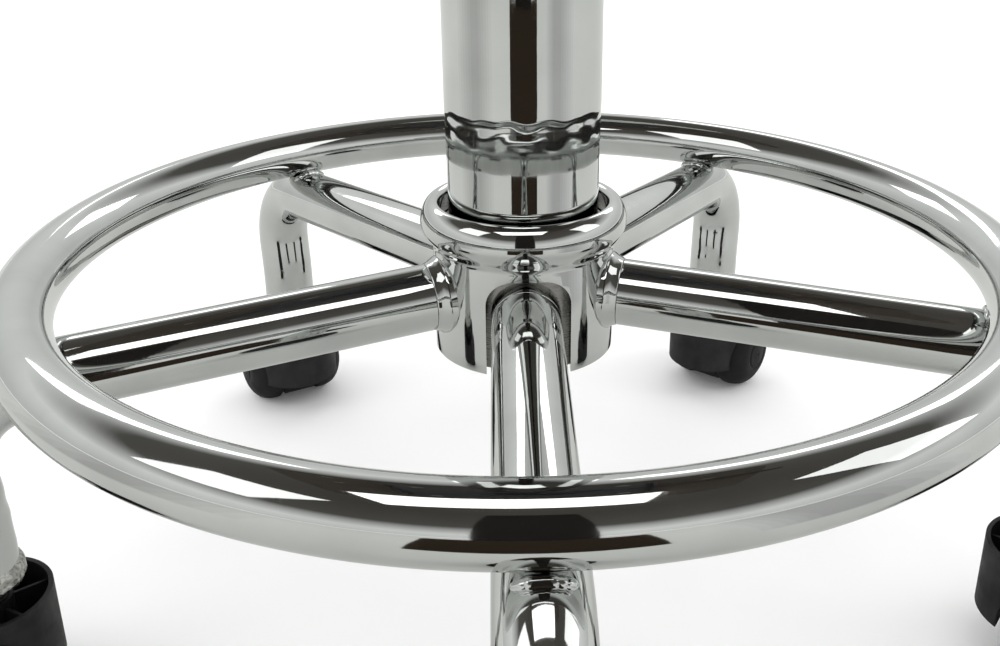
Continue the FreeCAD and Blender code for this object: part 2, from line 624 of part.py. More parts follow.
# ---- seat ----------------------------------------------------------------------------------------
ARM_HOLE_X = 150.0
ARM_HOLE_Y = (40.0, 140.0)
TNUT_RADIUS = 4.5
CORNER_RADIUS = 70.0
BOARD_INSET = 12.0


def seat_board():
    board = rounded_slab(SEAT_WIDTH - 2 * BOARD_INSET, SEAT_DEPTH - 2 * BOARD_INSET,
                         CORNER_RADIUS - BOARD_INSET, PLATE_TOP, BOARD_TOP)
    for x, y in corners(SEAT_BOLT_X, SEAT_BOLT_Y):
        board = board.cut(cylinder(M6_RADIUS, PLATE_TOP - 1, BOARD_TOP + 1, x, y))
    for side in (-1, 1):
        for y in ARM_HOLE_Y:
            board = board.cut(cylinder(TNUT_RADIUS, PLATE_TOP - 1, BOARD_TOP + 1, side * ARM_HOLE_X, y))
    return board


def arm_nuts():
    """Tee nuts in the seat board for a pair of armrests."""
    nuts = [tube(TNUT_RADIUS, M6_RADIUS, PLATE_TOP, BOARD_TOP, side * ARM_HOLE_X, y)
            for side in (-1, 1) for y in ARM_HOLE_Y]
    return group(nuts)


def seat_cushion():
    cushion = rounded_slab(SEAT_WIDTH, SEAT_DEPTH, CORNER_RADIUS, BOARD_TOP, SEAT_TOP)
    rims = [edge for edge in cushion.Edges if edge.BoundBox.ZMin > SEAT_TOP - 0.1]
    return cushion.makeFillet(18, rims)


parts["seat_board"] = seat_board()
parts["arm_nuts"] = arm_nuts()
parts["seat_cushion"] = seat_cushion()

# ---- backrest ------------------------------------------------------------------------------------
BAR_FRONT_END = 70.0
BAR_BEND_RADIUS = 40.0
BAR_TOP = BACK_PIVOT_Z + 85.0
BRACKET_HALF_X = 33.0
BRACKET_HALF_Z = 42.0
BRACKET_WALL = 5.0
BRACKET_FRONT = BAR_Y - BAR_THICKNESS / 2 - SLIDE_GAP - BRACKET_WALL
BRACKET_BACK = BAR_Y + BAR_THICKNESS / 2 + SLIDE_GAP + BRACKET_WALL
TILT_PIN_RADIUS = 4.0
LUG_RADIUS = 8.5
LUG_SPAN = (16.0, 22.0)
EAR_SPAN = (22.4, 26.4)
HINGE_PLATE_BACK = BACK_PIVOT_Y - 10.0
HINGE_PLATE_FRONT = HINGE_PLATE_BACK - 4.0
SHELL_THICKNESS = 10.0
SHELL_INSET = 10.0
BACK_BOLT_X = 36.0
BACK_BOLT_Z = 28.0


def back_bar():
    """Flat bar: level run under the seat, bend, and upright run behind it."""
    half = BAR_THICKNESS / 2
    inner = BAR_BEND_RADIUS - half
    outer = BAR_BEND_RADIUS + half
    turn_y = BAR_Y - BAR_BEND_RADIUS
    turn_z = BAR_Z + BAR_BEND_RADIUS
    level = block((-BAR_WIDTH / 2, BAR_WIDTH / 2), (BAR_FRONT_END, turn_y), (BAR_Z - half, BAR_Z + half))
    upright = block((-BAR_WIDTH / 2, BAR_WIDTH / 2), (BAR_Y - half, BAR_Y + half), (turn_z, BAR_TOP))
    bend = rod_x(outer, -BAR_WIDTH / 2, BAR_WIDTH / 2, turn_y, turn_z)
    bend = bend.cut(rod_x(inner, -BAR_WIDTH / 2 - 1, BAR_WIDTH / 2 + 1, turn_y, turn_z))
    quarter = block((-BAR_WIDTH / 2, BAR_WIDTH / 2), (turn_y, turn_y + outer), (turn_z - outer, turn_z))
    return fused([level, bend.common(quarter), upright])


def back_bracket():
    """Carrier that slides on the upright bar and holds the backrest's tilt pin in two lugs."""
    half = BAR_WIDTH / 2 + SLIDE_GAP
    body = block((-BRACKET_HALF_X, BRACKET_HALF_X), (BRACKET_FRONT, BRACKET_BACK),
                 (BACK_PIVOT_Z - BRACKET_HALF_Z, BACK_PIVOT_Z + BRACKET_HALF_Z))
    body = body.makeFillet(3, [edge for edge in body.Edges if edge.Length > 2 * BRACKET_HALF_Z - 1])
    slot_z = (BACK_PIVOT_Z - BRACKET_HALF_Z - 1, BACK_PIVOT_Z + BRACKET_HALF_Z + 1)
    body = body.cut(block((-half, half), (BRACKET_FRONT + BRACKET_WALL, BRACKET_BACK - BRACKET_WALL), slot_z))
    for side in (-1, 1):
        low, high = sorted((side * LUG_SPAN[0], side * LUG_SPAN[1]))
        lug = rod_x(LUG_RADIUS, low, high, BACK_PIVOT_Y, BACK_PIVOT_Z)
        lug = lug.fuse(block((low, high), (BACK_PIVOT_Y, BRACKET_FRONT + 1),
                             (BACK_PIVOT_Z - LUG_RADIUS, BACK_PIVOT_Z + LUG_RADIUS)))
        body = body.fuse(lug)
    body = body.cut(rod_x(TILT_PIN_RADIUS, -BRACKET_HALF_X, BRACKET_HALF_X, BACK_PIVOT_Y, BACK_PIVOT_Z))
    knob_bore = rod_y(4.0 + RUNNING_GAP, BRACKET_BACK - BRACKET_WALL - 0.1, BRACKET_BACK + 1, 0, BACK_PIVOT_Z)
    return body.cut(knob_bore)


def hinge_plate():
    """Steel plate behind the backrest with two ears that turn on the tilt pin."""
    plate = block((-48, 48), (HINGE_PLATE_FRONT, HINGE_PLATE_BACK), (BACK_PIVOT_Z - 40, BACK_PIVOT_Z + 40))
    for side in (-1, 1):
        low, high = sorted((side * EAR_SPAN[0], side * EAR_SPAN[1]))
        ear = rod_x(LUG_RADIUS, low, high, BACK_PIVOT_Y, BACK_PIVOT_Z)
        ear = ear.fuse(block((low, high), (HINGE_PLATE_BACK - 1, BACK_PIVOT_Y),
                             (BACK_PIVOT_Z - LUG_RADIUS, BACK_PIVOT_Z + LUG_RADIUS)))
        plate = plate.fuse(ear)
    plate = plate.cut(rod_x(TILT_PIN_RADIUS + RUNNING_GAP, -30, 30, BACK_PIVOT_Y, BACK_PIVOT_Z))
    for x, z in corners(BACK_BOLT_X, BACK_BOLT_Z):
        hole = rod_y(M6_RADIUS + 0.3, HINGE_PLATE_FRONT - 1, HINGE_PLATE_BACK + 1, x, BACK_PIVOT_Z + z)
        plate = plate.cut(hole)
    return plate.removeSplitter()


def curved_pad(width, height, radius, thickness, corner):
    """Rounded rectangle bent to hug the sitter: its back face lies on a large upright cylinder."""
    centre_y = HINGE_PLATE_FRONT - BACK_CURVE_RADIUS
    back_y = centre_y + radius
    low = BACK_PIVOT_Z - height / 2
    high = BACK_PIVOT_Z + height / 2
    band = tube(radius, radius - thickness, low, high, 0, centre_y)
    outline = block((-width / 2, width / 2), (0, back_y + 1), (low, high))
    edges = [edge for edge in outline.Edges if abs(edge.tangentAt(edge.FirstParameter).y) > 0.9]
    return band.common(outline.makeFillet(corner, edges))


def back_bolts():
    bolts = []
    for x, z in corners(BACK_BOLT_X, BACK_BOLT_Z):
        head = rod_y(5.5, HINGE_PLATE_BACK, HINGE_PLATE_BACK + 3, x, BACK_PIVOT_Z + z)
        shank = rod_y(M6_RADIUS, HINGE_PLATE_FRONT - 9, HINGE_PLATE_BACK + 1, x, BACK_PIVOT_Z + z)
        bolts.append(head.fuse(shank))
    return group(bolts)


def back_shell():
    shell = curved_pad(BACK_WIDTH - 2 * SHELL_INSET, BACK_HEIGHT - 2 * SHELL_INSET,
                       BACK_CURVE_RADIUS, SHELL_THICKNESS, 50.0)
    shell = shell.cut(block((-48.3, 48.3), (HINGE_PLATE_FRONT - 1.8, HINGE_PLATE_FRONT + 1),
                            (BACK_PIVOT_Z - 40.3, BACK_PIVOT_Z + 40.3)))
    seat = block((-48, 48), (HINGE_PLATE_FRONT - 1.8, HINGE_PLATE_FRONT),
                 (BACK_PIVOT_Z - 40, BACK_PIVOT_Z + 40))
    shell = fused([shell, seat])
    for x, z in corners(BACK_BOLT_X, BACK_BOLT_Z):
        shell = shell.cut(rod_y(M6_RADIUS, HINGE_PLATE_FRONT - 9, HINGE_PLATE_FRONT + 1, x, BACK_PIVOT_Z + z))
    return shell


parts["back_bar"] = back_bar()
parts["back_bracket"] = back_bracket()
parts["height_knob"] = moved(turned(star_knob(26.0), 90, X_AXIS),
                             0, BAR_Y + BAR_THICKNESS / 2 + 0.4, BACK_PIVOT_Z)
parts["tilt_pin"] = rod_x(TILT_PIN_RADIUS, -28, 28, BACK_PIVOT_Y, BACK_PIVOT_Z)
parts["hinge_plate"] = hinge_plate()
parts["back_bolts"] = back_bolts()
parts["back_shell"] = back_shell()
parts["back_cushion"] = curved_pad(BACK_WIDTH, BACK_HEIGHT, BACK_CURVE_RADIUS - SHELL_THICKNESS,
                                   BACK_CUSHION_THICKNESS, 60.0)

os.makedirs("parts", exist_ok=True)
for name, shape in parts.items():
    shape.exportStep("parts/%s.step" % name)
    bounds = shape.BoundBox
    print("%-24s solids %2d valid %s volume %9.0f  x %.1f..%.1f y %.1f..%.1f z %.1f..%.1f" % (
        name, len(shape.Solids), shape.isValid(), shape.Volume, bounds.XMin, bounds.XMax,
        bounds.YMin, bounds.YMax, bounds.ZMin, bounds.ZMax))
print(len(parts), "nodes")
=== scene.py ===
"""Drafting chair: chromed five-legged base with a foot ring, casters, gas lift, padded seat and back.

Builders work in millimetres above the floor and turn into metres when a mesh is made.
"""
import json
import math

import bmesh
import bpy
import numpy as np
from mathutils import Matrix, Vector, noise
from mathutils.bvhtree import BVHTree

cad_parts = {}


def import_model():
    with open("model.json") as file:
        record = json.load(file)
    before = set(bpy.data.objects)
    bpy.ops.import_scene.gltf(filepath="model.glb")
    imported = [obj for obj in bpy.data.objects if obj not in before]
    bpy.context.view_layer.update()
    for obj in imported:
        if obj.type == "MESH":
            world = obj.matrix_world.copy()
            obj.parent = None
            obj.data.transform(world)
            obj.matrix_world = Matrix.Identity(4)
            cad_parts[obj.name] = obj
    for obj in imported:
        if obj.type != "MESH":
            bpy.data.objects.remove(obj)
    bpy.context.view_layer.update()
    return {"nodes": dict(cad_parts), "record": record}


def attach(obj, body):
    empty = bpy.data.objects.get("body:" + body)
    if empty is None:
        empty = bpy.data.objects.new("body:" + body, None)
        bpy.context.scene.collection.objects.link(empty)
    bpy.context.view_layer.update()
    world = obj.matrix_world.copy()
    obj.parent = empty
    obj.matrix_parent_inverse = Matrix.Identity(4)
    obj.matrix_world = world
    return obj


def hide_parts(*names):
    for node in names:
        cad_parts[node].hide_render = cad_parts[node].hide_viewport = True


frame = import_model()
nodes = frame["nodes"]
scene = bpy.context.scene

MM = 0.001
TURN = 2 * math.pi

# ---- dimensions shared with the CAD part ---------------------------------------------------------
LEG_OFFSETS = (-1.7, 1.0, 1.7, -0.3, -0.7)       # degrees off an even fifth of a turn
LEG_ANGLES = [-90.0 + 72.0 * place + offset for place, offset in enumerate(LEG_OFFSETS)]
LEG_RADIUS = 11.0
LEG_WALL = 1.5
LEG_SLOPE = 3.5
LEG_AXIS_DROP = 9.7
LEG_START = 33.3
LEG_BEND = 26.0
LEG_CURL = 4.0
LEG_CURL_RUN = 12.0
LEG_REVERSE = 60.0
LEG_END = 52.0
CASTER_CIRCLE = 177.5
RING_HEIGHT = 130.0
RING_RADIUS = 154.5
RING_TUBE = 9.5
HUB_RADIUS = 30.0
HUB_BORE = 27.2
HUB_BOTTOM = 98.0
HUB_TOP = 149.0
COLLAR_RADIUS = 34.0
COLLAR_BOTTOM = 135.0
SLOT_HALF = 13.5
SLOT_TOP = 130.6
SLOT_CORNER = 9.0
SLOT_ANGLE = -90.0
NECK_HOLE = 12.5
COLUMN_RADIUS = 25.0
COLUMN_BOTTOM = 101.0
COLUMN_TOP = 435.0
SHOULDER = 176.5
WHEEL_RADIUS = 18.0
WHEEL_INNER = 7.9
WHEEL_OUTER = 22.8
TRAIL = 10.5
CASTER_YAW = [14.0, -24.0, -8.0, -9.0, 19.0]
SEAT_BASE = 529.0
BACK_CENTRE_Z = 860.0
BACK_CURVE = 690.0
BACK_FACE_Y = 197.0
PAD_GAP = 0.3                     # between a cushion and what it lies on

# ---- mesh helpers --------------------------------------------------------------------------------


def quads(rows, columns, wrap_rows=False, wrap_columns=True):
    """Faces of a grid of points stored row by row."""
    faces = []
    for row in range(rows if wrap_rows else rows - 1):
        after = (row + 1) % rows
        for column in range(columns if wrap_columns else columns - 1):
            side = (column + 1) % columns
            faces.append((row * columns + column, row * columns + side,
                          after * columns + side, after * columns + column))
    return faces


def add_mesh(name, points, faces, sharp=40.0):
    """New object from points in millimetres, smooth except across edges sharper than the angle."""
    mesh = bpy.data.meshes.new(name)
    mesh.from_pydata((np.asarray(points, float) * MM).tolist(), [], faces)
    work = bmesh.new()
    work.from_mesh(mesh)
    bmesh.ops.recalc_face_normals(work, faces=work.faces)
    soften(work, sharp)
    work.to_mesh(mesh)
    work.free()
    obj = bpy.data.objects.new(name, mesh)
    scene.collection.objects.link(obj)
    return obj


def soften(work, sharp):
    """Smooth faces, with sharp edges kept above the angle."""
    for face in work.faces:
        face.smooth = True
    for edge in work.edges:
        if len(edge.link_faces) == 2:
            edge.smooth = edge.calc_face_angle(0.0) < math.radians(sharp)


def piece(obj, body, material, replaced=()):
    """Finish a piece: material, the body it moves with and the nodes it stands for."""
    obj.data.materials.clear()
    obj.data.materials.append(material)
    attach(obj, body)
    if replaced:
        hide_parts(*replaced)
    return obj


def eased(outline, radius, steps=4, closed=True):
    """Outline with every corner rounded by a short curve."""
    points = [np.array(p, float) for p in outline]
    result = []
    for index, point in enumerate(points):
        if not closed and index in (0, len(points) - 1):
            result.append(point)
            continue
        before = points[index - 1] - point
        after = points[(index + 1) % len(points)] - point
        cut = min(radius, 0.45 * np.linalg.norm(before), 0.45 * np.linalg.norm(after))
        start = point + before / max(np.linalg.norm(before), 1e-9) * cut
        end = point + after / max(np.linalg.norm(after), 1e-9) * cut
        for t in np.linspace(0, 1, steps + 1):
            result.append((1 - t) ** 2 * start + 2 * t * (1 - t) * point + t * t * end)
    return result


def lathe(outline, segments=128, closed=True):
    """Points and faces of an outline of (radius, height) turned about Z."""
    angles = np.linspace(0, TURN, segments, endpoint=False)
    points = [(r * math.cos(a), r * math.sin(a), z) for r, z in outline for a in angles]
    return np.array(points), quads(len(outline), segments, wrap_rows=closed)


def spun(points, degrees):
    """Points turned about Z."""
    c, s = math.cos(math.radians(degrees)), math.sin(math.radians(degrees))
    return np.asarray(points) @ np.array([[c, s, 0], [-s, c, 0], [0, 0, 1]])


def merged(parts):
    """One set of points and faces from several."""
    points, faces, count = [], [], 0
    for part_points, part_faces in parts:
        points.append(np.asarray(part_points, float))
        faces += [tuple(i + count for i in face) for face in part_faces]
        count += len(part_points)
    return np.vstack(points), faces


def tube_along(path, radius, sides=12, closed=True):
    """Round cord along a path of points; radius may be one number or one per point."""
    path = np.asarray(path, float)
    radii = np.broadcast_to(radius, len(path))
    ahead = np.roll(path, -1, axis=0) - np.roll(path, 1, axis=0)
    if not closed:
        ahead[0], ahead[-1] = path[1] - path[0], path[-1] - path[-2]
    ahead /= np.linalg.norm(ahead, axis=1)[:, None]
    up = np.array([0.0, 0.0, 1.0]) if abs(ahead[0][2]) < 0.9 else np.array([1.0, 0.0, 0.0])
    rows = []
    for point, heading, size in zip(path, ahead, radii):
        up = up - heading * (up @ heading)
        up /= np.linalg.norm(up)
        side = np.cross(heading, up)
        for angle in np.linspace(0, TURN, sides, endpoint=False):
            rows.append(point + size * (math.cos(angle) * up + math.sin(angle) * side))
    faces = quads(len(path), sides, wrap_rows=closed)
    if not closed:
        faces.append(tuple(range(sides - 1, -1, -1)))
        faces.append(tuple(len(rows) - sides + i for i in range(sides)))
    return np.array(rows), faces


def baked(obj):
    """Replace an object's mesh by what its modifiers make of it."""
    mesh = bpy.data.meshes.new_from_object(obj.evaluated_get(bpy.context.evaluated_depsgraph_get()))
    obj.modifiers.clear()
    obj.data = mesh
    return obj


def coordinates(obj):
    co = np.zeros(len(obj.data.vertices) * 3)
    obj.data.vertices.foreach_get("co", co)
    return co.reshape(-1, 3)


def set_coordinates(obj, co):
    obj.data.vertices.foreach_set("co", np.asarray(co).ravel())
    obj.data.update()


def paint(obj, name, values):
    """Store one number per point for the material to read."""
    layer = obj.data.attributes.new(name, "FLOAT", "POINT")
    layer.data.foreach_set("value", np.asarray(values, np.float32))


# ---- materials -----------------------------------------------------------------------------------


def srgb(r, g, b):
    """Display colour, 0 to 255, as the linear colour the shader takes."""
    linear = [(c / 255 / 12.92) if c <= 10 else ((c / 255 + 0.055) / 1.055) ** 2.4 for c in (r, g, b)]
    return (*linear, 1.0)


class Finish:
    """A node material put together step by step around one Principled shader."""

    def __init__(self, name, metallic=0.0, **sockets):
        self.material = bpy.data.materials.new(name)
        self.material.use_nodes = True
        self.tree = self.material.node_tree
        self.shader = self.tree.nodes["Principled BSDF"]
        self.shader.inputs["Metallic"].default_value = metallic
        for key, value in sockets.items():
            self.shader.inputs[key.replace("_", " ")].default_value = value
        self.place = self.tree.nodes.new("ShaderNodeTexCoord").outputs["Object"]

    def node(self, kind, links=(), **settings):
        made = self.tree.nodes.new(kind)
        for key, value in settings.items():
            if key in made.inputs:
                made.inputs[key].default_value = value
            elif key.replace("_", " ") in made.inputs:
                made.inputs[key.replace("_", " ")].default_value = value
            else:
                setattr(made, key, value)
        for key, source in dict(links).items():
            self.tree.links.new(source, made.inputs[key])
        return made

    def stretched(self, scale):
        return self.node("ShaderNodeMapping", {"Vector": self.place}, Scale=scale).outputs["Vector"]

    def noise(self, scale, detail=4.0, stretch=None, distortion=0.0):
        vector = self.place if stretch is None else self.stretched(stretch)
        made = self.node("ShaderNodeTexNoise", {"Vector": vector}, Scale=scale, Detail=detail,
                         Distortion=distortion)
        return made.outputs["Fac"]

    def cells(self, scale, feature="F1", smooth=False):
        made = self.node("ShaderNodeTexVoronoi", {"Vector": self.place}, Scale=scale)
        made.feature = "SMOOTH_F1" if smooth else feature
        return made.outputs["Distance"]

    def ramp(self, fac, stops):
        made = self.node("ShaderNodeValToRGB", {"Fac": fac})
        elements = made.color_ramp.elements
        while len(elements) < len(stops):
            elements.new(0.5)
        for element, (position, colour) in zip(elements, stops):
            element.position = position
            element.color = colour
        return made.outputs["Color"]

    def spread(self, fac, low, high, from_low=0.3, from_high=0.7):
        made = self.node("ShaderNodeMapRange", {"Value": fac})
        for key, value in zip(("From Min", "From Max", "To Min", "To Max"), (from_low, from_high, low, high)):
            made.inputs[key].default_value = value
        return made.outputs["Result"]

    def mix(self, fac, a, b, blend="MIX"):
        made = self.tree.nodes.new("ShaderNodeMix")
        made.data_type = "RGBA"
        made.blend_type = blend
        for socket, value in ((made.inputs[0], fac), (made.inputs[6], a), (made.inputs[7], b)):
            if isinstance(value, (float, tuple)):
                socket.default_value = value
            else:
                self.tree.links.new(value, socket)
        return made.outputs[2]

    def attribute(self, name):
        return self.node("ShaderNodeAttribute", attribute_name=name).outputs["Fac"]

    def worn_edges(self, low=0.52, high=0.62):
        """1 on outer edges, 0 on flat and hollow places."""
        return self.spread(self.node("ShaderNodeNewGeometry").outputs["Pointiness"], 0.0, 1.0, low, high)

    def colour(self, source):
        self.tree.links.new(source, self.shader.inputs["Base Color"])

    def roughness(self, source):
        self.tree.links.new(source, self.shader.inputs["Roughness"])

    def bumps(self, *layers):
        """Stack of (height, strength, depth in metres)."""
        normal = None
        for height, strength, depth in layers:
            bump = self.node("ShaderNodeBump", {"Height": height}, Strength=strength, Distance=depth)
            if normal:
                self.tree.links.new(normal, bump.inputs["Normal"])
            normal = bump.outputs["Normal"]
        self.tree.links.new(normal, self.shader.inputs["Normal"])


def chrome(name, rough=0.035, tone=(150, 152, 150), tint=(150, 120, 94)):
    """Polished chrome: soft haze, fine scratches, brownish heat colour beside the welds."""
    f = Finish(name, metallic=1.0)
    haze = f.noise(38.0, 5.0)
    base = f.ramp(haze, [(0.3, srgb(*[c + 44 for c in tone])), (0.7, srgb(*[c + 56 for c in tone]))])
    heat = f.spread(f.attribute("heat"), 0.0, 0.75, 0.05, 1.0)
    f.colour(f.mix(heat, base, srgb(*tint)))
    scratches = f.noise(900.0, 3.0, stretch=(1.0, 1.0, 0.06))
    rough_base = f.spread(haze, rough * 0.6, rough * 1.9)
    rough_fine = f.spread(scratches, 0.0, 0.05, 0.62, 0.8)
    total = f.node("ShaderNodeMath", {0: rough_base, 1: rough_fine}, operation="ADD").outputs[0]
    f.roughness(total)
    f.bumps((f.noise(55.0, 2.0), 0.10, 0.0004), (f.noise(420.0, 3.0), 0.05, 0.00006))
    return f.material


def rough_weld(name):
    """Silvery spattered metal of weld beads and the plated plug flanges."""
    f = Finish(name, metallic=1.0)
    spots = f.noise(700.0, 6.0, distortion=0.4)
    f.colour(f.ramp(spots, [(0.25, srgb(88, 86, 82)), (0.5, srgb(178, 177, 173)),
                            (0.75, srgb(226, 225, 221))]))
    f.roughness(f.spread(spots, 0.22, 0.5))
    f.bumps((f.noise(260.0, 4.0), 0.8, 0.0006), (spots, 0.5, 0.0002))
    return f.material


def steel(name, tone, rough=0.3, brushed=(1.0, 1.0, 14.0)):
    """Plain machined or drawn steel with fine drawing marks."""
    f = Finish(name, metallic=1.0)
    marks = f.noise(260.0, 5.0, stretch=brushed)
    lit = [min(255, c + 26) for c in tone]
    f.colour(f.ramp(marks, [(0.3, srgb(*tone)), (0.7, srgb(*lit))]))
    f.roughness(f.spread(marks, rough * 0.75, rough * 1.3))
    f.bumps((marks, 0.16, 0.00006), (f.noise(60.0), 0.08, 0.0003))
    return f.material


def moulded(name, tone, rough=0.45, grain=1500.0, depth=0.00009, scuff=(92, 92, 92), specular=0.5):
    """Moulded plastic: spark-eroded grain, faint flow marks, paler rubbed edges."""
    f = Finish(name, Specular_IOR_Level=specular)
    flow = f.noise(22.0, 4.0, stretch=(1.0, 1.6, 0.7), distortion=0.8)
    light = [c + 9 for c in tone]
    base = f.ramp(flow, [(0.3, srgb(*tone)), (0.7, srgb(*light))])
    edges = f.worn_edges(0.53, 0.66)
    patches = f.spread(f.noise(90.0, 6.0), 0.0, 0.8)
    rubbed = f.node("ShaderNodeMath", {0: edges, 1: patches}, operation="MULTIPLY").outputs[0]
    f.colour(f.mix(rubbed, base, srgb(*scuff)))
    f.roughness(f.spread(f.noise(140.0, 5.0), rough * 0.85, rough * 1.25))
    f.bumps((f.noise(grain, 3.0), 0.45, depth), (f.cells(grain * 0.5), 0.2, depth * 0.5))
    return f.material


def painted(name, tone, rough=0.38):
    """Powder-coated steel: fine orange peel and slightly brighter, worn edges."""
    f = Finish(name, Coat_Weight=0.15, Coat_Roughness=0.3)
    patch = f.noise(35.0, 5.0)
    base = f.ramp(patch, [(0.3, srgb(*tone)), (0.7, srgb(*[c + 10 for c in tone]))])
    edges = f.worn_edges(0.56, 0.7)
    flakes = f.spread(f.noise(300.0, 6.0), 0.0, 1.0, 0.5, 0.62)
    chips = f.node("ShaderNodeMath", {0: edges, 1: flakes}, operation="MULTIPLY").outputs[0]
    f.colour(f.mix(chips, base, srgb(46, 45, 44)))
    f.roughness(f.spread(patch, rough * 0.8, rough * 1.3))
    f.bumps((f.noise(1100.0, 2.0), 0.35, 0.00012), (f.noise(240.0, 3.0), 0.2, 0.0002))
    return f.material


def vinyl(name, tone=(27, 26, 26)):
    """Black upholstery vinyl: pebbled leather grain with painted shade in its pits, pull creases, dull rubbed
    crown.
    """
    f = Finish(name, Specular_IOR_Level=0.55, Sheen_Weight=0.08, Sheen_Roughness=0.5, Coat_Weight=0.12,
               Coat_Roughness=0.35)
    pebble = f.cells(620.0, smooth=True)
    crease = f.cells(95.0, feature="DISTANCE_TO_EDGE")
    wear = f.noise(9.0, 6.0, distortion=1.2)
    base = f.ramp(wear, [(0.28, srgb(*tone)), (0.72, srgb(*[c + 13 for c in tone]))])
    hollow = f.spread(pebble, 0.0, 1.0, 0.2, 0.75)
    # Painted shade: the colour is pulled towards near-black in the pits of the pebble grain.
    f.colour(f.mix(f.spread(hollow, 0.35, 0.0, 0.0, 1.0), base, srgb(12, 12, 12)))
    blotch = f.spread(wear, 0.34, 0.5)
    valley = f.spread(hollow, -0.05, 0.08, 0.0, 1.0)
    f.roughness(f.node("ShaderNodeMath", {0: blotch, 1: valley}, operation="ADD").outputs[0])
    f.bumps((f.spread(crease, 0.0, 1.0, 0.0, 0.12), 0.22, 0.0003), (pebble, 0.55, 0.00035),
            (f.noise(2600.0, 2.0), 0.15, 0.00005))
    return f.material


def thread(name, tone=(46, 45, 44)):
    """Twisted sewing thread."""
    f = Finish(name, Sheen_Weight=0.3)
    twist = f.noise(1800.0, 3.0, stretch=(1.0, 1.0, 3.0))
    f.colour(f.ramp(twist, [(0.3, srgb(*tone)), (0.7, srgb(*[c + 24 for c in tone]))]))
    f.roughness(f.spread(twist, 0.55, 0.8))
    f.bumps((twist, 0.6, 0.0001),)
    return f.material


def plywood(name):
    """Dark-stained plywood: ply layers on the cut edges, wood figure on the faces."""
    f = Finish(name, Specular_IOR_Level=0.3)
    layers = f.noise(560.0, 1.0, stretch=(0.012, 0.012, 1.0))
    figure = f.noise(16.0, 7.0, stretch=(1.0, 9.0, 1.0), distortion=1.4)
    face = f.ramp(figure, [(0.3, srgb(44, 39, 34)), (0.55, srgb(56, 49, 42)), (0.75, srgb(70, 60, 50))])
    edge = f.ramp(layers, [(0.4, srgb(52, 44, 36)), (0.6, srgb(88, 74, 58))])
    upright = f.node("ShaderNodeSeparateXYZ", {"Vector": f.node("ShaderNodeNewGeometry").outputs["Normal"]})
    flat = f.node("ShaderNodeMath", {0: upright.outputs["Z"]}, operation="ABSOLUTE").outputs[0]
    f.colour(f.mix(flat, edge, face))
    f.roughness(f.spread(figure, 0.55, 0.75))
    f.bumps((figure, 0.3, 0.0004), (f.noise(900.0, 3.0, stretch=(1.0, 12.0, 1.0)), 0.3, 0.0001))
    return f.material


CHROME = chrome("chrome_tube")
CHROME_COLUMN = chrome("chrome_column", rough=0.028)
CHROME_BAR = chrome("chrome_bar", rough=0.06)
CYLINDER = steel("cylinder_plating", (168, 168, 170), rough=0.14, brushed=(1.0, 1.0, 0.05))
WELD = rough_weld("weld_metal")
STEEL = steel("raw_steel", (132, 130, 127))
HOOD = moulded("caster_nylon", (15, 15, 16), rough=0.5, specular=0.2, scuff=(46, 46, 46))
TREAD = moulded("wheel_nylon", (17, 17, 18), rough=0.55, grain=1100.0, specular=0.2, scuff=(50, 50, 50))
GUIDE = moulded("guide_plastic", (28, 28, 30), rough=0.4, scuff=(44, 44, 44))
PAINT = painted("black_steel", (24, 24, 25))
PLASTIC = moulded("black_plastic", (22, 22, 23), rough=0.55, depth=0.00008, scuff=(30, 30, 30), specular=0.3)
PLY = plywood("plywood")
VINYL = vinyl("seat_vinyl")
THREAD = thread("stitch_thread")

SLOT_FINISH = {
    "chrome_tube": CHROME, "cylinder_chrome": CYLINDER, "bar_chrome": CHROME_BAR, "weld_metal": WELD,
    "raw_steel": STEEL, "caster_nylon": HOOD, "wheel_nylon": TREAD, "guide_plastic": GUIDE,
    "black_steel": PAINT, "black_plastic": PLASTIC, "plywood": PLY, "seat_vinyl": VINYL,
}

for row in frame["record"]["subparts"]:
    node_mesh = nodes[row["node"]].data
    node_mesh.materials.clear()
    node_mesh.materials.append(SLOT_FINISH[row["material_slot"]])

# ---- base: ring, legs, hub -----------------------------------------------------------------------


def polar(angle):
    return np.array([math.cos(math.radians(angle)), math.sin(math.radians(angle))])


def near_welds(points, reach):
    """0 to 1 by how close each point is to a ring weld."""
    spots = np.array([[*(polar(a) * RING_RADIUS), RING_HEIGHT - 8.0] for a in LEG_ANGLES])
    gap = np.min(np.linalg.norm(np.asarray(points)[:, None, :] - spots[None], axis=2), axis=1)
    return np.exp(-(gap / reach) ** 2)


def foot_ring():
    """Ring tube, a hair out of level, browned where it is welded."""
    rounds, sides = 480, 40
    around = np.linspace(0, TURN, rounds, endpoint=False)
    section = np.linspace(0, TURN, sides, endpoint=False)
    points = []
    for a in around:
        wobble = 0.06 * math.sin(3 * a + 0.7)
        for s in section:
            r = RING_RADIUS + RING_TUBE * math.cos(s)
            points.append((r * math.cos(a), r * math.sin(a), RING_HEIGHT + wobble + RING_TUBE * math.sin(s)))
    obj = add_mesh("ring_tube", points, quads(rounds, sides, wrap_rows=True))
    under = 0.5 - 0.5 * (np.array(points)[:, 2] - RING_HEIGHT) / RING_TUBE
    paint(obj, "heat", near_welds(points, 17.0) * np.clip(under * 1.4, 0.25, 1))
    return piece(obj, "root", CHROME, ["foot_ring"])


def leg_axis_height(radial):
    return RING_HEIGHT - LEG_AXIS_DROP - radial * math.tan(math.radians(LEG_SLOPE))


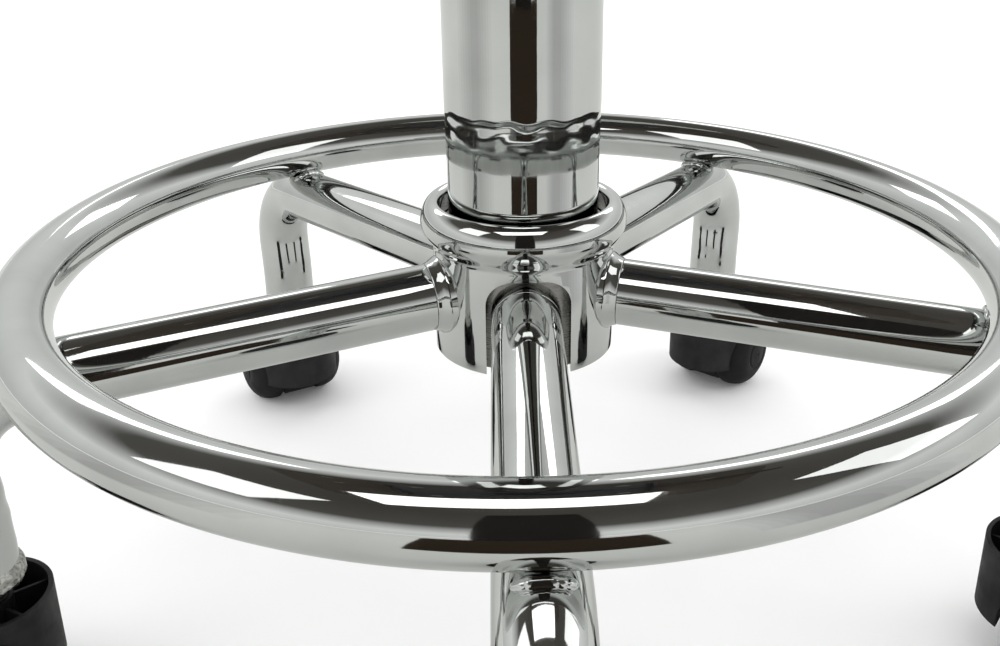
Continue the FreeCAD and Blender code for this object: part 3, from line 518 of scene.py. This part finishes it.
def leg_steps(run, drop):
    """Rows of (radial, height, heading in degrees, run number) down one leg's centre line."""
    r, z, heading = LEG_START, leg_axis_height(LEG_START), -LEG_SLOPE
    rows = [(r, z, heading, 0, 0.0)]
    plan = [(None, run, 10.0), (LEG_BEND, -(90 - LEG_SLOPE + LEG_CURL), 0.9), (None, LEG_CURL_RUN, 1.2),
            (LEG_REVERSE, LEG_CURL, 0.9), (None, drop, 2.5)]
    for number, (radius, amount, pace) in enumerate(plan):
        length = amount if radius is None else radius * abs(math.radians(amount))
        count = max(2, int(length / pace))
        for step in range(count):
            half = 0.0 if radius is None else amount / count / 2
            heading += half
            r += length / count * math.cos(math.radians(heading))
            z += length / count * math.sin(math.radians(heading))
            heading += half
            rows.append((r, z, heading, number, (step + 1) / count))
    return rows


def leg_line():
    trial = leg_steps(100.0, 1.0)
    run = 100.0 + (CASTER_CIRCLE - trial[-1][0]) / math.cos(math.radians(LEG_SLOPE))
    short = leg_steps(run, 1.0)
    return leg_steps(run, 1.0 + short[-1][1] - LEG_END)


def crease(run, part, turn, seed):
    """How far the tube's wall moves at a place along a bend, and round from its inner side."""
    inner = max(0.0, math.cos(turn)) ** 2
    swell = math.sin(math.pi * part)
    if run == 1:
        dent = noise.noise(Vector((part * 3.0 + seed, 1.3 * math.sin(turn), 5.7 * seed)))
        return swell * (inner * (0.75 * dent - 0.2) - 0.3 * max(0, -math.cos(turn)))
    if run in (2, 3):
        at = part + (1.0 if run == 3 else 0.0)
        dent = noise.noise(Vector((at * 1.8 + seed, 1.1 * math.sin(turn), 2.9 * seed)))
        return math.sin(math.pi * at / 2) * 0.4 * inner * dent
    if run == 4:
        dent = noise.noise(Vector((part * 2.2 + 2.0 + seed, 1.6 * math.sin(turn), 2.9 * seed)))
        return math.sin(math.pi * part) ** 2 * 0.3 * inner * dent
    return 0.0


def leg(number, angle):
    """Bent leg tube with an open inner end and dents in its bends."""
    sides = 48
    bore_depth = 26.0
    line = leg_line()
    points = []
    for r, z, heading, run, part in line:
        h = math.radians(heading)
        inward = np.array([math.sin(h), 0.0, -math.cos(h)])
        for turn in np.linspace(0, TURN, sides, endpoint=False):
            radius = LEG_RADIUS + crease(run, part, turn, number)
            outward = math.cos(turn) * inward + math.sin(turn) * np.array([0, 1, 0])
            points.append(np.array([r, 0, z]) + radius * outward)
    outside = len(line)
    h = math.radians(line[0][2])
    inward = np.array([math.sin(h), 0.0, -math.cos(h)])
    bore = LEG_RADIUS - LEG_WALL
    for depth in (0.0, bore_depth):
        middle = np.array([line[0][0] + depth * math.cos(h), 0, line[0][1] + depth * math.sin(h)])
        for turn in np.linspace(0, TURN, sides, endpoint=False):
            points.append(middle + bore * (math.cos(turn) * inward + math.sin(turn) * np.array([0, 1, 0])))
    faces = quads(outside, sides)
    mouth, deep = outside * sides, (outside + 1) * sides
    for i in range(sides):
        k = (i + 1) % sides
        faces.append((k, i, mouth + i, mouth + k))
        faces.append((mouth + k, mouth + i, deep + i, deep + k))
    faces.append(tuple(deep + i for i in range(sides)))
    faces.append(tuple((outside - 1) * sides + i for i in range(sides)))
    points = spun(points, angle)
    obj = add_mesh("leg_tube_%d" % number, points, faces, sharp=50)
    root = np.linalg.norm(points[:, :2], axis=1) - LEG_START
    paint(obj, "heat", np.maximum(near_welds(points, 19.0), 0.35 * np.exp(-(root / 9.0) ** 2)))
    return piece(obj, "root", CHROME, ["leg_%d" % number])


def weld_beads():
    """Two lumpy beads at each crossing of ring and leg."""
    parts = []
    for index, angle in enumerate(LEG_ANGLES):
        for side in (-1, 1):
            x = RING_RADIUS + side * 7.0
            height = leg_axis_height(x) + LEG_RADIUS - 0.4
            path, radii = [], []
            for t in np.linspace(-1, 1, 27):
                ripple = noise.noise(Vector((t * 7.0, index * 3.1, side * 2.3)))
                path.append((x + 0.3 * ripple - side * 1.1 * abs(t) ** 3, 7.0 * t,
                             height - 2.0 * t * t + 0.2 * ripple))
                lumps = 1 + 0.08 * math.sin(11 * t) + 0.12 * ripple
                radii.append(1.7 * math.sqrt(max(0.02, 1 - t ** 4)) * lumps)
            points, faces = tube_along(path, radii, sides=14, closed=False)
            parts.append((spun(points, angle), faces))
    obj = add_mesh("weld_beads", *merged(parts))
    paint(obj, "heat", np.full(len(obj.data.vertices), 0.6))
    return piece(obj, "root", CHROME, ["ring_welds"])


def cutter(outline, angle):
    """Solid that cuts an opening, an outline of (across, height), through the skirt's wall."""
    count = len(outline)
    points = [(x, y, z) for x in (12.0, 48.0) for y, z in outline]
    faces = [tuple(range(count)), tuple(range(2 * count - 1, count - 1, -1))]
    faces += [(i, count + i, count + (i + 1) % count, (i + 1) % count) for i in range(count)]
    return spun(points, angle), faces


def openings():
    """The front leg's open slot with rounded corners, and a round hole for each of the other legs."""
    flat = SLOT_HALF - SLOT_CORNER
    slot = [(SLOT_HALF, HUB_BOTTOM - 6)]
    for side, start in ((1, 0.0), (-1, math.pi / 2)):
        for t in np.linspace(start, start + math.pi / 2, 12):
            slot.append((side * flat + SLOT_CORNER * math.cos(t), SLOT_TOP + SLOT_CORNER * (math.sin(t) - 1)))
    slot.append((-SLOT_HALF, HUB_BOTTOM - 6))
    height = leg_axis_height(HUB_RADIUS)
    hole = [(NECK_HOLE * math.cos(t), height + NECK_HOLE * math.sin(t))
            for t in np.linspace(0, TURN, 64, endpoint=False)]
    return [cutter(slot, SLOT_ANGLE)] + [cutter(hole, a) for a in LEG_ANGLES[1:]]


def hub():
    """Skirt and rolled collar, with softly broken edges round its five openings."""
    middle = (COLLAR_BOTTOM + HUB_TOP) / 2 - 0.5
    bulge = COLLAR_RADIUS - HUB_RADIUS
    outline = [(HUB_BORE, HUB_BOTTOM), (HUB_RADIUS, HUB_BOTTOM)]
    outline += [(HUB_RADIUS, z) for z in np.linspace(HUB_BOTTOM + 4, COLLAR_BOTTOM - 2, 8)]
    rise = middle - COLLAR_BOTTOM + 1
    for t in np.linspace(0, 1, 12):
        outline.append((HUB_RADIUS + bulge * math.sin(t * math.pi / 2) ** 1.3, COLLAR_BOTTOM - 1 + rise * t))
    for t in np.linspace(0.08, 1, 14):
        a = t * math.pi / 2
        outline.append((COLLAR_RADIUS - 4.6 * (1 - math.cos(a)), middle + (HUB_TOP - middle) * math.sin(a)))
    for t in np.linspace(0.15, 1, 6):
        a = t * math.pi / 2
        outline.append((COLLAR_RADIUS - 4.6 - 1.8 * math.sin(a), HUB_TOP - 2.4 * (1 - math.cos(a))))
    outline += [(HUB_BORE + 0.4, COLLAR_BOTTOM + 4), (HUB_BORE, COLLAR_BOTTOM + 3.9)]
    shell = add_mesh("hub_skirt", *lathe(outline, 240))
    tool = add_mesh("opening_cutter", *merged(openings()))
    cut = shell.modifiers.new("cut", "BOOLEAN")
    cut.object = tool
    cut.solver = "EXACT"
    baked(shell)
    bpy.data.objects.remove(tool)
    edge = shell.modifiers.new("edge", "BEVEL")
    edge.width = 0.5 * MM
    edge.segments = 3
    edge.limit_method = "ANGLE"
    edge.angle_limit = math.radians(50)
    baked(shell)
    work = bmesh.new()
    work.from_mesh(shell.data)
    soften(work, 50)
    work.to_mesh(shell.data)
    work.free()
    paint(shell, "heat", np.zeros(len(shell.data.vertices)))
    return piece(shell, "root", CHROME, ["hub_shell"])


def necks():
    """Sockets between the inner sleeve and the legs: plain in the slot, flared against the skirt."""
    plain = [(0.01, -4.0), (11.0, -4.0), (11.0, 6.1), (9.6, 6.2), (9.4, 9.0), (0.01, 9.0)]
    flared = [(0.01, -4.0), (13.1, -4.0), (13.1, 2.0), (12.6, 3.0), (12.0, 4.0), (11.5, 5.0), (11.1, 6.1),
              (9.6, 6.2), (9.4, 9.0), (0.01, 9.0)]
    tilt = math.radians(90 + LEG_SLOPE)
    c, s = math.cos(tilt), math.sin(tilt)
    lean = np.array([[c, 0, -s], [0, 1, 0], [s, 0, c]])
    root = LEG_START - 6.2 * math.cos(math.radians(LEG_SLOPE))
    parts = []
    for number, angle in enumerate(LEG_ANGLES):
        points, faces = lathe(eased(flared if number else plain, 0.4), 72)
        parts.append((spun(points @ lean + np.array([root, 0, leg_axis_height(root)]), angle), faces))
    obj = add_mesh("leg_sockets", *merged(parts))
    paint(obj, "heat", np.full(len(obj.data.vertices), 0.1))
    return piece(obj, "root", CHROME, ["leg_necks"])


def column_radius(height):
    """The tube below the shoulder, which widens a little upwards."""
    return 24.0 + 0.85 * (height - COLUMN_BOTTOM) / (SHOULDER - COLUMN_BOTTOM)


def column():
    """Column tube with a hand-swaged shoulder whose lip is slightly uneven."""
    segments = 256
    neck = column_radius(SHOULDER)
    heights = list(np.linspace(COLUMN_BOTTOM, SHOULDER - 7, 24))
    heights += list(np.linspace(SHOULDER - 6.5, SHOULDER + 7.5, 44))
    heights += list(np.linspace(SHOULDER + 9, COLUMN_TOP - 1, 40))
    angles = np.linspace(0, TURN, segments, endpoint=False)
    points = []
    for z in heights:
        band = math.exp(-((z - SHOULDER + 1.5) / 3.4) ** 2)
        for a in angles:
            c, s = math.cos(a), math.sin(a)
            lip = SHOULDER + 2.4 + 1.5 * noise.noise(Vector((c * 3.4, s * 3.4, 2.0)))
            step = 1 / (1 + math.exp(-(z - lip) / 0.55))
            ripple = noise.noise(Vector((c * 4.6, s * 4.6, z * 0.22 + 4)))
            r = column_radius(min(z, SHOULDER)) * (1 - step) + COLUMN_RADIUS * step + band * 0.07 * ripple
            points.append((r * c, r * s, z))
    top = [(COLUMN_RADIUS - 0.5, COLUMN_TOP), (COLUMN_RADIUS - 2, COLUMN_TOP),
           (COLUMN_RADIUS - 2, COLUMN_TOP - 4), (0.02, COLUMN_TOP - 4)]
    for r, z in top:
        points += [(r * math.cos(a), r * math.sin(a), z) for a in angles]
    faces = quads(len(heights) + len(top), segments)
    faces.append(tuple(range(segments - 1, -1, -1)))
    obj = add_mesh("column_outer", points, faces, sharp=60)
    paint(obj, "heat", 0.22 * np.exp(-((np.array(points)[:, 2] - SHOULDER) / 5.0) ** 2))
    return piece(obj, "root", CHROME_COLUMN, ["column_tube"])


foot_ring()
for leg_number, leg_angle in enumerate(LEG_ANGLES, 1):
    leg(leg_number, leg_angle)
weld_beads()
hub()
necks()
column()

# ---- casters -------------------------------------------------------------------------------------


def at_leg_end(points, index, yaw):
    """Points built about Z, moved to the foot of a leg."""
    placed = spun(points, 90 + yaw) + np.array([CASTER_CIRCLE, 0, 0])
    return spun(placed, LEG_ANGLES[index])


def plug_flanges():
    """Spattered collars welded over the ends of the legs."""
    outline = eased([(10.2, 46.0), (11.6, 46.0), (12.3, 47.2), (12.3, 50.8), (11.5, 51.9), (10.4, 53.4),
                     (10.2, 53.4)], 0.7)
    parts = []
    for index in range(len(LEG_ANGLES)):
        points, faces = lathe(outline, 72)
        for i, p in enumerate(points):
            lump = noise.noise(Vector((p[0] * 0.55, p[1] * 0.55, p[2] * 0.7 + 9 * index)))
            lump += 0.5 * noise.noise(Vector((p[0] * 1.7, p[1] * 1.7, p[2] * 1.9 + 9 * index)))
            flat = np.array([p[0], p[1], 0]) / max(np.hypot(p[0], p[1]), 1e-6)
            points[i] = p + flat * 0.34 * lump
        parts.append((at_leg_end(points, index, 0), faces))
    obj = add_mesh("plug_flanges", *merged(parts), sharp=70)
    return piece(obj, "root", WELD, ["leg_plugs"])


def wheel_outline():
    """Section of a wheel from its bore over the hub cap and tread back to the bore."""
    return eased([
        (2.6, WHEEL_INNER), (9.0, WHEEL_INNER), (9.6, WHEEL_INNER + 1.0), (13.4, WHEEL_INNER + 1.0),
        (14.2, WHEEL_INNER), (WHEEL_RADIUS - 1.5, WHEEL_INNER), (WHEEL_RADIUS, WHEEL_INNER + 1.5),
        (WHEEL_RADIUS, WHEEL_OUTER - 9.5), (WHEEL_RADIUS - 1.2, WHEEL_OUTER - 5.6),
        (WHEEL_RADIUS - 3.8, WHEEL_OUTER - 2.8), (WHEEL_RADIUS - 7.2, WHEEL_OUTER - 1.0),
        (8.0, WHEEL_OUTER - 0.5), (7.2, WHEEL_OUTER - 1.0), (6.4, WHEEL_OUTER - 0.3), (3.0, WHEEL_OUTER),
        (0.02, WHEEL_OUTER)], 1.6)


def wheel(index, side):
    points, faces = lathe(wheel_outline(), 96, closed=False)
    if side == "right":
        lying = np.stack([points[:, 2], points[:, 1], points[:, 0]], axis=1)
    else:
        lying = np.stack([-points[:, 2], points[:, 1], points[:, 0]], axis=1)
    placed = lying + np.array([0, -TRAIL, WHEEL_RADIUS])
    obj = add_mesh("wheel_%d_%s" % (index + 1, side), at_leg_end(placed, index, CASTER_YAW[index]), faces)
    body = "wheel_%d_%s" % (index + 1, side)
    return piece(obj, body, TREAD, ["caster_%d_wheel_%s" % (index + 1, side)])


plug_flanges()
for leg_index in range(len(LEG_ANGLES)):
    for wheel_side in ("left", "right"):
        wheel(leg_index, wheel_side)

# ---- cushions ------------------------------------------------------------------------------------


def rounded_outline(width, depth, corner, steps=9):
    """Corner points of a rounded rectangle about the origin."""
    points = []
    for quarter, (sx, sy) in enumerate(((1, 1), (-1, 1), (-1, -1), (1, -1))):
        for t in np.linspace(0, math.pi / 2, steps):
            a = t + quarter * math.pi / 2
            points.append((sx * (width / 2 - corner) + corner * math.cos(a),
                           sy * (depth / 2 - corner) + corner * math.sin(a)))
    return points


def slab(name, width, depth, corner, height, edge, waist):
    """Closed pad blank on the plane z 0: rounded top edge and sides that pull in at the waist."""
    profile = [(0.6, 0.0)]
    profile += [(waist * math.sin(math.pi * t), t * (height - edge)) for t in np.linspace(0, 1, 7)]
    profile += [(edge * (1 - math.cos(a)), height - edge + edge * math.sin(a))
                for a in np.linspace(0.25, math.pi / 2, 6)]
    points, count = [], len(rounded_outline(1, 1, 0.1))
    for inset, z in profile:
        ring = rounded_outline(width - 2 * inset, depth - 2 * inset, corner - inset)
        points += [(x, y, z) for x, y in ring]
    faces = quads(len(profile), count)
    faces.append(tuple(range(count - 1, -1, -1)))
    faces.append(tuple((len(profile) - 1) * count + i for i in range(count)))
    return add_mesh(name, points, faces)


def remeshed(obj, size):
    """Even voxel mesh, with the voxel size in millimetres."""
    modifier = obj.modifiers.new("remesh", "REMESH")
    modifier.mode = "VOXEL"
    modifier.voxel_size = size * MM
    modifier.use_smooth_shade = True
    return baked(obj)


def inflate(obj, pressure, cap, floor=1.2):
    """Blow the pad up as cloth with its underside held. No point moves further than the cap."""
    last_frame = 20
    start = coordinates(obj)
    held = obj.vertex_groups.new(name="held")
    held.add([int(i) for i in np.nonzero(start[:, 2] < floor * MM)[0]], 1.0, "REPLACE")
    cloth = obj.modifiers.new("cloth", "CLOTH")
    settings = cloth.settings
    settings.quality = 5
    settings.mass = 0.3
    settings.tension_stiffness = 22.0
    settings.compression_stiffness = 22.0
    settings.shear_stiffness = 9.0
    settings.bending_stiffness = 1.2
    settings.use_pressure = True
    settings.uniform_pressure_force = pressure
    settings.vertex_group_mass = held.name
    settings.effector_weights.gravity = 0.0
    cloth.collision_settings.use_collision = False
    cloth.point_cache.frame_start = 1
    cloth.point_cache.frame_end = last_frame
    for number in range(1, last_frame + 1):
        scene.frame_set(number)
    baked(obj)
    scene.frame_set(1)
    move = coordinates(obj) - start
    reach = np.linalg.norm(move, axis=1)
    set_coordinates(obj, start + move * np.minimum(1.0, cap * MM / np.maximum(reach, 1e-9))[:, None])
    return obj


def relax(obj, rounds):
    """Even out the small ripples that the cloth leaves."""
    work = bmesh.new()
    work.from_mesh(obj.data)
    for _ in range(rounds):
        bmesh.ops.smooth_vert(work, verts=work.verts, factor=0.5,
                              use_axis_x=True, use_axis_y=True, use_axis_z=True)
    soften(work, 80)
    work.to_mesh(obj.data)
    work.free()
    return obj


def ring_on(obj, height, count, proud):
    """Points round the pad where its side meets a height in millimetres."""
    tree = BVHTree.FromObject(obj, bpy.context.evaluated_depsgraph_get())
    points = []
    for a in np.linspace(0, TURN, count, endpoint=False):
        outward = Vector((math.cos(a), math.sin(a), 0))
        hit = tree.ray_cast(Vector((0, 0, height * MM)) + outward * 0.5, -outward)
        spot = np.array(hit[0]) / MM + np.array(hit[1]) * proud
        points.append(spot)
    points = np.array(points)
    for _ in range(3):
        points = (np.roll(points, 1, 0) + 2 * points + np.roll(points, -1, 0)) / 4
    return points


def even(points, spacing):
    """A closed loop of points set at even steps."""
    loop = np.vstack([points, points[:1]])
    lengths = np.concatenate([[0], np.cumsum(np.linalg.norm(np.diff(loop, axis=0), axis=1))])
    steps = np.linspace(0, lengths[-1], int(lengths[-1] / spacing), endpoint=False)
    return np.stack([np.interp(steps, lengths, loop[:, k]) for k in range(3)], axis=1)


def stitches(points, length=3.1, radius=0.42):
    """Short thread lengths laid end to end round a loop."""
    parts, radii = [], [radius * share for share in (0.35, 0.9, 1.0, 0.9, 0.35)]
    ahead = np.roll(points, -1, 0) - np.roll(points, 1, 0)
    ahead /= np.linalg.norm(ahead, axis=1)[:, None]
    for spot, heading in zip(points, ahead):
        path = [spot + heading * length * t for t in (-0.5, -0.38, 0.0, 0.38, 0.5)]
        parts.append(tube_along(path, radii, 6, False))
    return merged(parts)


def cushion(name, node, body, size, corner, height, placed, cap, seams, box):
    """Stuffed vinyl pad: simulated crown, sewn seams with piping, topstitching. Built flat, then placed."""
    width, depth = size
    pad = slab(name + "_cover", width, depth, corner, height, 15.0, 3.5)
    remeshed(pad, 5.0)
    co = coordinates(pad) / MM
    bulge = np.clip(1 - (2 * co[:, 0] / width) ** 2, 0, 1) * np.clip(1 - (2 * co[:, 1] / depth) ** 2, 0, 1)
    co[:, 2] += 7.0 * bulge * np.clip(co[:, 2] / height, 0, 1) ** 2
    set_coordinates(pad, co * MM)
    inflate(pad, 4.0, cap)
    relax(pad, 9)
    finer = pad.modifiers.new("finer", "SUBSURF")
    finer.levels = 1
    finer.render_levels = 1
    baked(pad)
    co = coordinates(pad) / MM
    normals = np.zeros(len(co) * 3)
    pad.data.vertices.foreach_get("normal", normals)
    normals = normals.reshape(-1, 3)
    side = np.clip(1.15 - np.abs(normals[:, 2]), 0, 1)
    for seam in seams:
        co -= normals * (side * 2.2 * np.exp(-((co[:, 2] - seam) / 4.2) ** 2))[:, None]
    puckers = np.array([noise.noise(Vector((p[0] * 0.06, p[1] * 0.06, p[2] * 0.035))) for p in co])
    co += normals * (puckers * side * 0.7)[:, None]
    low, high = box
    co = np.minimum(np.maximum(co, low), high)
    set_coordinates(pad, co * MM)
    pieces = [(pad, VINYL)]
    for count, seam in enumerate(seams, 1):
        loop = ring_on(pad, seam, 420, 1.0)
        cord = add_mesh("%s_piping_%d" % (name, count), *tube_along(even(loop, 3.0), 2.3, 12))
        pieces.append((cord, VINYL))
        for edge, offset in enumerate((-6.2, 6.2), 1):
            if low[2] + 3 < seam + offset < high[2] - 4:
                row = even(ring_on(pad, seam + offset, 420, 0.1), 4.6)
                pieces.append((add_mesh("%s_stitches_%d_%d" % (name, count, edge), *stitches(row)), THREAD))
    for obj, material in pieces:
        set_coordinates(obj, placed(coordinates(obj) / MM) * MM)
        piece(obj, body, material)
    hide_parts(node)
    return pad


def on_seat(co):
    return co + np.array([0, 0, SEAT_BASE + PAD_GAP])


def on_back(co):
    """Lay a flat pad on the curved back: its height becomes depth towards the sitter."""
    radius = BACK_CURVE - PAD_GAP - co[:, 2]
    turn = co[:, 0] / BACK_CURVE
    y = BACK_FACE_Y - BACK_CURVE + radius * np.cos(turn)
    return np.stack([radius * np.sin(turn), y, BACK_CENTRE_Z + co[:, 1]], axis=1)


cushion("seat", "seat_cushion", "seat_frame", size=(408, 398), corner=66, height=66, placed=on_seat,
        cap=24, seams=[9.0, 54.0], box=(np.array([-217, -212, 0.0]), np.array([217, 212, 81.0])))
cushion("back", "back_cushion", "backrest", size=(380, 272), corner=54, height=42, placed=on_back,
        cap=22, seams=[8.0, 34.0], box=(np.array([-202, -147, 0.0]), np.array([202, 147, 56.0])))

# ---- stage, light, camera ------------------------------------------------------------------------


def stage_floor():
    floor = add_mesh("floor", level(-9000, 9000, -9000, 9000, 0), [(0, 1, 2, 3)])
    f = Finish("floor_paper")
    grain = f.noise(40.0, 5.0)
    f.colour(f.ramp(grain, [(0.3, (0.98, 0.98, 0.98, 1)), (0.7, (0.99, 0.99, 0.99, 1))]))
    f.roughness(f.spread(grain, 0.8, 0.95))
    floor.data.materials.append(f.material)


def card(name, corners, tone, glow=0.0):
    """Card that only shows in the chrome: black cloth, a grey painted reflection of the floor, or white where
    it glows.
    """
    made = add_mesh(name, corners, [(0, 1, 2, 3)])
    finish = Finish(name + "_cloth", Roughness=1.0, Base_Color=srgb(*tone))
    finish.shader.inputs["Specular IOR Level"].default_value = 0.0
    if glow:
        finish.shader.inputs["Emission Color"].default_value = srgb(*tone)
        finish.shader.inputs["Emission Strength"].default_value = glow
    made.data.materials.append(finish.material)
    made.visible_camera = False
    made.visible_diffuse = False
    made.visible_shadow = False


def upright(x_low, x_high, y, z_low, z_high):
    """Corners of a standing card that faces along Y."""
    return [(x_low, y, z_low), (x_high, y, z_low), (x_high, y, z_high), (x_low, y, z_high)]


def level(x_low, x_high, y_low, y_high, z):
    """Corners of a card that lies flat."""
    return [(x_low, y_low, z), (x_high, y_low, z), (x_high, y_high, z), (x_low, y_high, z)]


def sector(start, end, inner, outer, z):
    """Four corners of a slice of floor, in degrees from the front towards the right, millimetres out."""
    return [(radius * math.sin(math.radians(turn)), -radius * math.cos(math.radians(turn)), z)
            for radius, turn in ((inner, start), (inner, end), (outer, end), (outer, start))]


def softbox(name, location, target, size, radiance):
    """Rectangular lamp of an even brightness, aimed at a point. Metres."""
    data = bpy.data.lights.new(name, "AREA")
    data.shape = "RECTANGLE"
    data.size, data.size_y = size
    data.energy = radiance * math.pi * size[0] * size[1]
    lamp = bpy.data.objects.new(name, data)
    lamp.location = location
    lamp.rotation_euler = (Vector(target) - Vector(location)).to_track_quat("-Z", "Y").to_euler()
    lamp.visible_camera = False
    scene.collection.objects.link(lamp)


def world():
    """White to the eye, an even dome for soft light, and a dark room with a pale backdrop for gloss."""
    made = bpy.data.worlds.new("studio")
    scene.world = made
    made.use_nodes = True
    tree = made.node_tree
    tree.nodes.clear()
    out = tree.nodes.new("ShaderNodeOutputWorld")
    place = tree.nodes.new("ShaderNodeTexCoord")
    split = tree.nodes.new("ShaderNodeSeparateXYZ")
    tree.links.new(place.outputs["Generated"], split.inputs[0])
    ramp = tree.nodes.new("ShaderNodeValToRGB")
    stops = [(0.0, (0.70, 0.71, 0.70, 1)), (0.32, (0.90, 0.91, 0.90, 1)), (0.50, (0.46, 0.46, 0.45, 1)),
             (0.60, (0.10, 0.096, 0.09, 1)), (0.93, (0.07, 0.065, 0.058, 1)), (1.0, (0.08, 0.072, 0.064, 1))]
    while len(ramp.color_ramp.elements) < len(stops):
        ramp.color_ramp.elements.new(0.5)
    for element, (position, colour) in zip(ramp.color_ramp.elements, stops):
        element.position, element.color = position, colour
    lean = tree.nodes.new("ShaderNodeMath")
    lean.operation = "MULTIPLY_ADD"
    lean.inputs[1].default_value = -0.2
    tree.links.new(split.outputs["Y"], lean.inputs[0])
    tree.links.new(split.outputs["Z"], lean.inputs[2])
    tree.links.new(lean.outputs[0], ramp.inputs["Fac"])
    rays = tree.nodes.new("ShaderNodeLightPath")
    looks = {}
    for key, colour in (("camera", (1.0, 1.0, 1.0, 1)), ("diffuse", (1.26, 1.26, 1.26, 1)), ("gloss", None)):
        looks[key] = tree.nodes.new("ShaderNodeBackground")
        if colour:
            looks[key].inputs["Color"].default_value = colour
    tree.links.new(ramp.outputs["Color"], looks["gloss"].inputs["Color"])
    inner = tree.nodes.new("ShaderNodeMixShader")
    tree.links.new(rays.outputs["Is Glossy Ray"], inner.inputs[0])
    tree.links.new(looks["diffuse"].outputs[0], inner.inputs[1])
    tree.links.new(looks["gloss"].outputs[0], inner.inputs[2])
    outer = tree.nodes.new("ShaderNodeMixShader")
    tree.links.new(rays.outputs["Is Camera Ray"], outer.inputs[0])
    tree.links.new(inner.outputs[0], outer.inputs[1])
    tree.links.new(looks["camera"].outputs[0], outer.inputs[2])
    tree.links.new(outer.outputs[0], out.inputs["Surface"])


stage_floor()
world()
# Painted reflection: grey cards seen only in the chrome stand in for the floor there. They are greyer than
# the white floor the camera sees, with darker patches stepped in to the left and right.
card("floor_painted_reflection", level(-4000, 4000, -4000, 4000, 1), (206, 207, 204))
for step in range(6):
    grey = 202 - 6 * step
    height = 2 + 0.3 * step
    card("floor_left_%d" % step, sector(-104 + 5 * step, -46 - 4 * step, 430, 3000, height),
         (grey, grey, grey - 2))
    card("floor_right_%d" % step, sector(30 + 2 * step, 72 - 4 * step, 300, 3000, height),
         (grey, grey, grey))
card("floor_front", sector(-20, 17, 330, 1560, 5), (44, 37, 30))
card("flag", upright(-300, 225, -1405, 0, 1900), (30, 28, 26))
card("bar_reflector", level(-150, 100, -258, -130, 440), (255, 255, 255), glow=1.5)
card("ceiling_strip", level(-420, 420, -160, 130, 1700), (255, 255, 255), glow=1.3)
softbox("key_left", (-1.3, -0.5, 1.3), (0, 0, 0.3), (0.8, 0.8), 1.6)
softbox("key_right", (1.4, -0.2, 1.2), (0, 0, 0.3), (0.7, 0.9), 1.5)
softbox("back_left", (-0.75, 1.5, 1.15), (0, 0, 0.13), (0.8, 0.3), 2.2)
softbox("back_right", (0.7, 1.5, 1.1), (0, 0, 0.13), (0.9, 0.3), 2.2)
scene.view_settings.view_transform = "Standard"

CAMERA_PITCH = 21.8               # degrees below level
CAMERA_YAW = 4.02                 # degrees to the right of straight back
lens = bpy.data.cameras.new("camera")
lens.sensor_width = 36.0
lens.lens = 39.2
lens.shift_x = -0.041
lens.shift_y = -0.057
lens.clip_start = 0.01
camera = bpy.data.objects.new("camera", lens)
camera.location = (-0.0180, -0.3389, 0.26008)
camera.rotation_euler = (math.radians(90 - CAMERA_PITCH), 0, -math.radians(CAMERA_YAW))
scene.collection.objects.link(camera)
scene.camera = camera
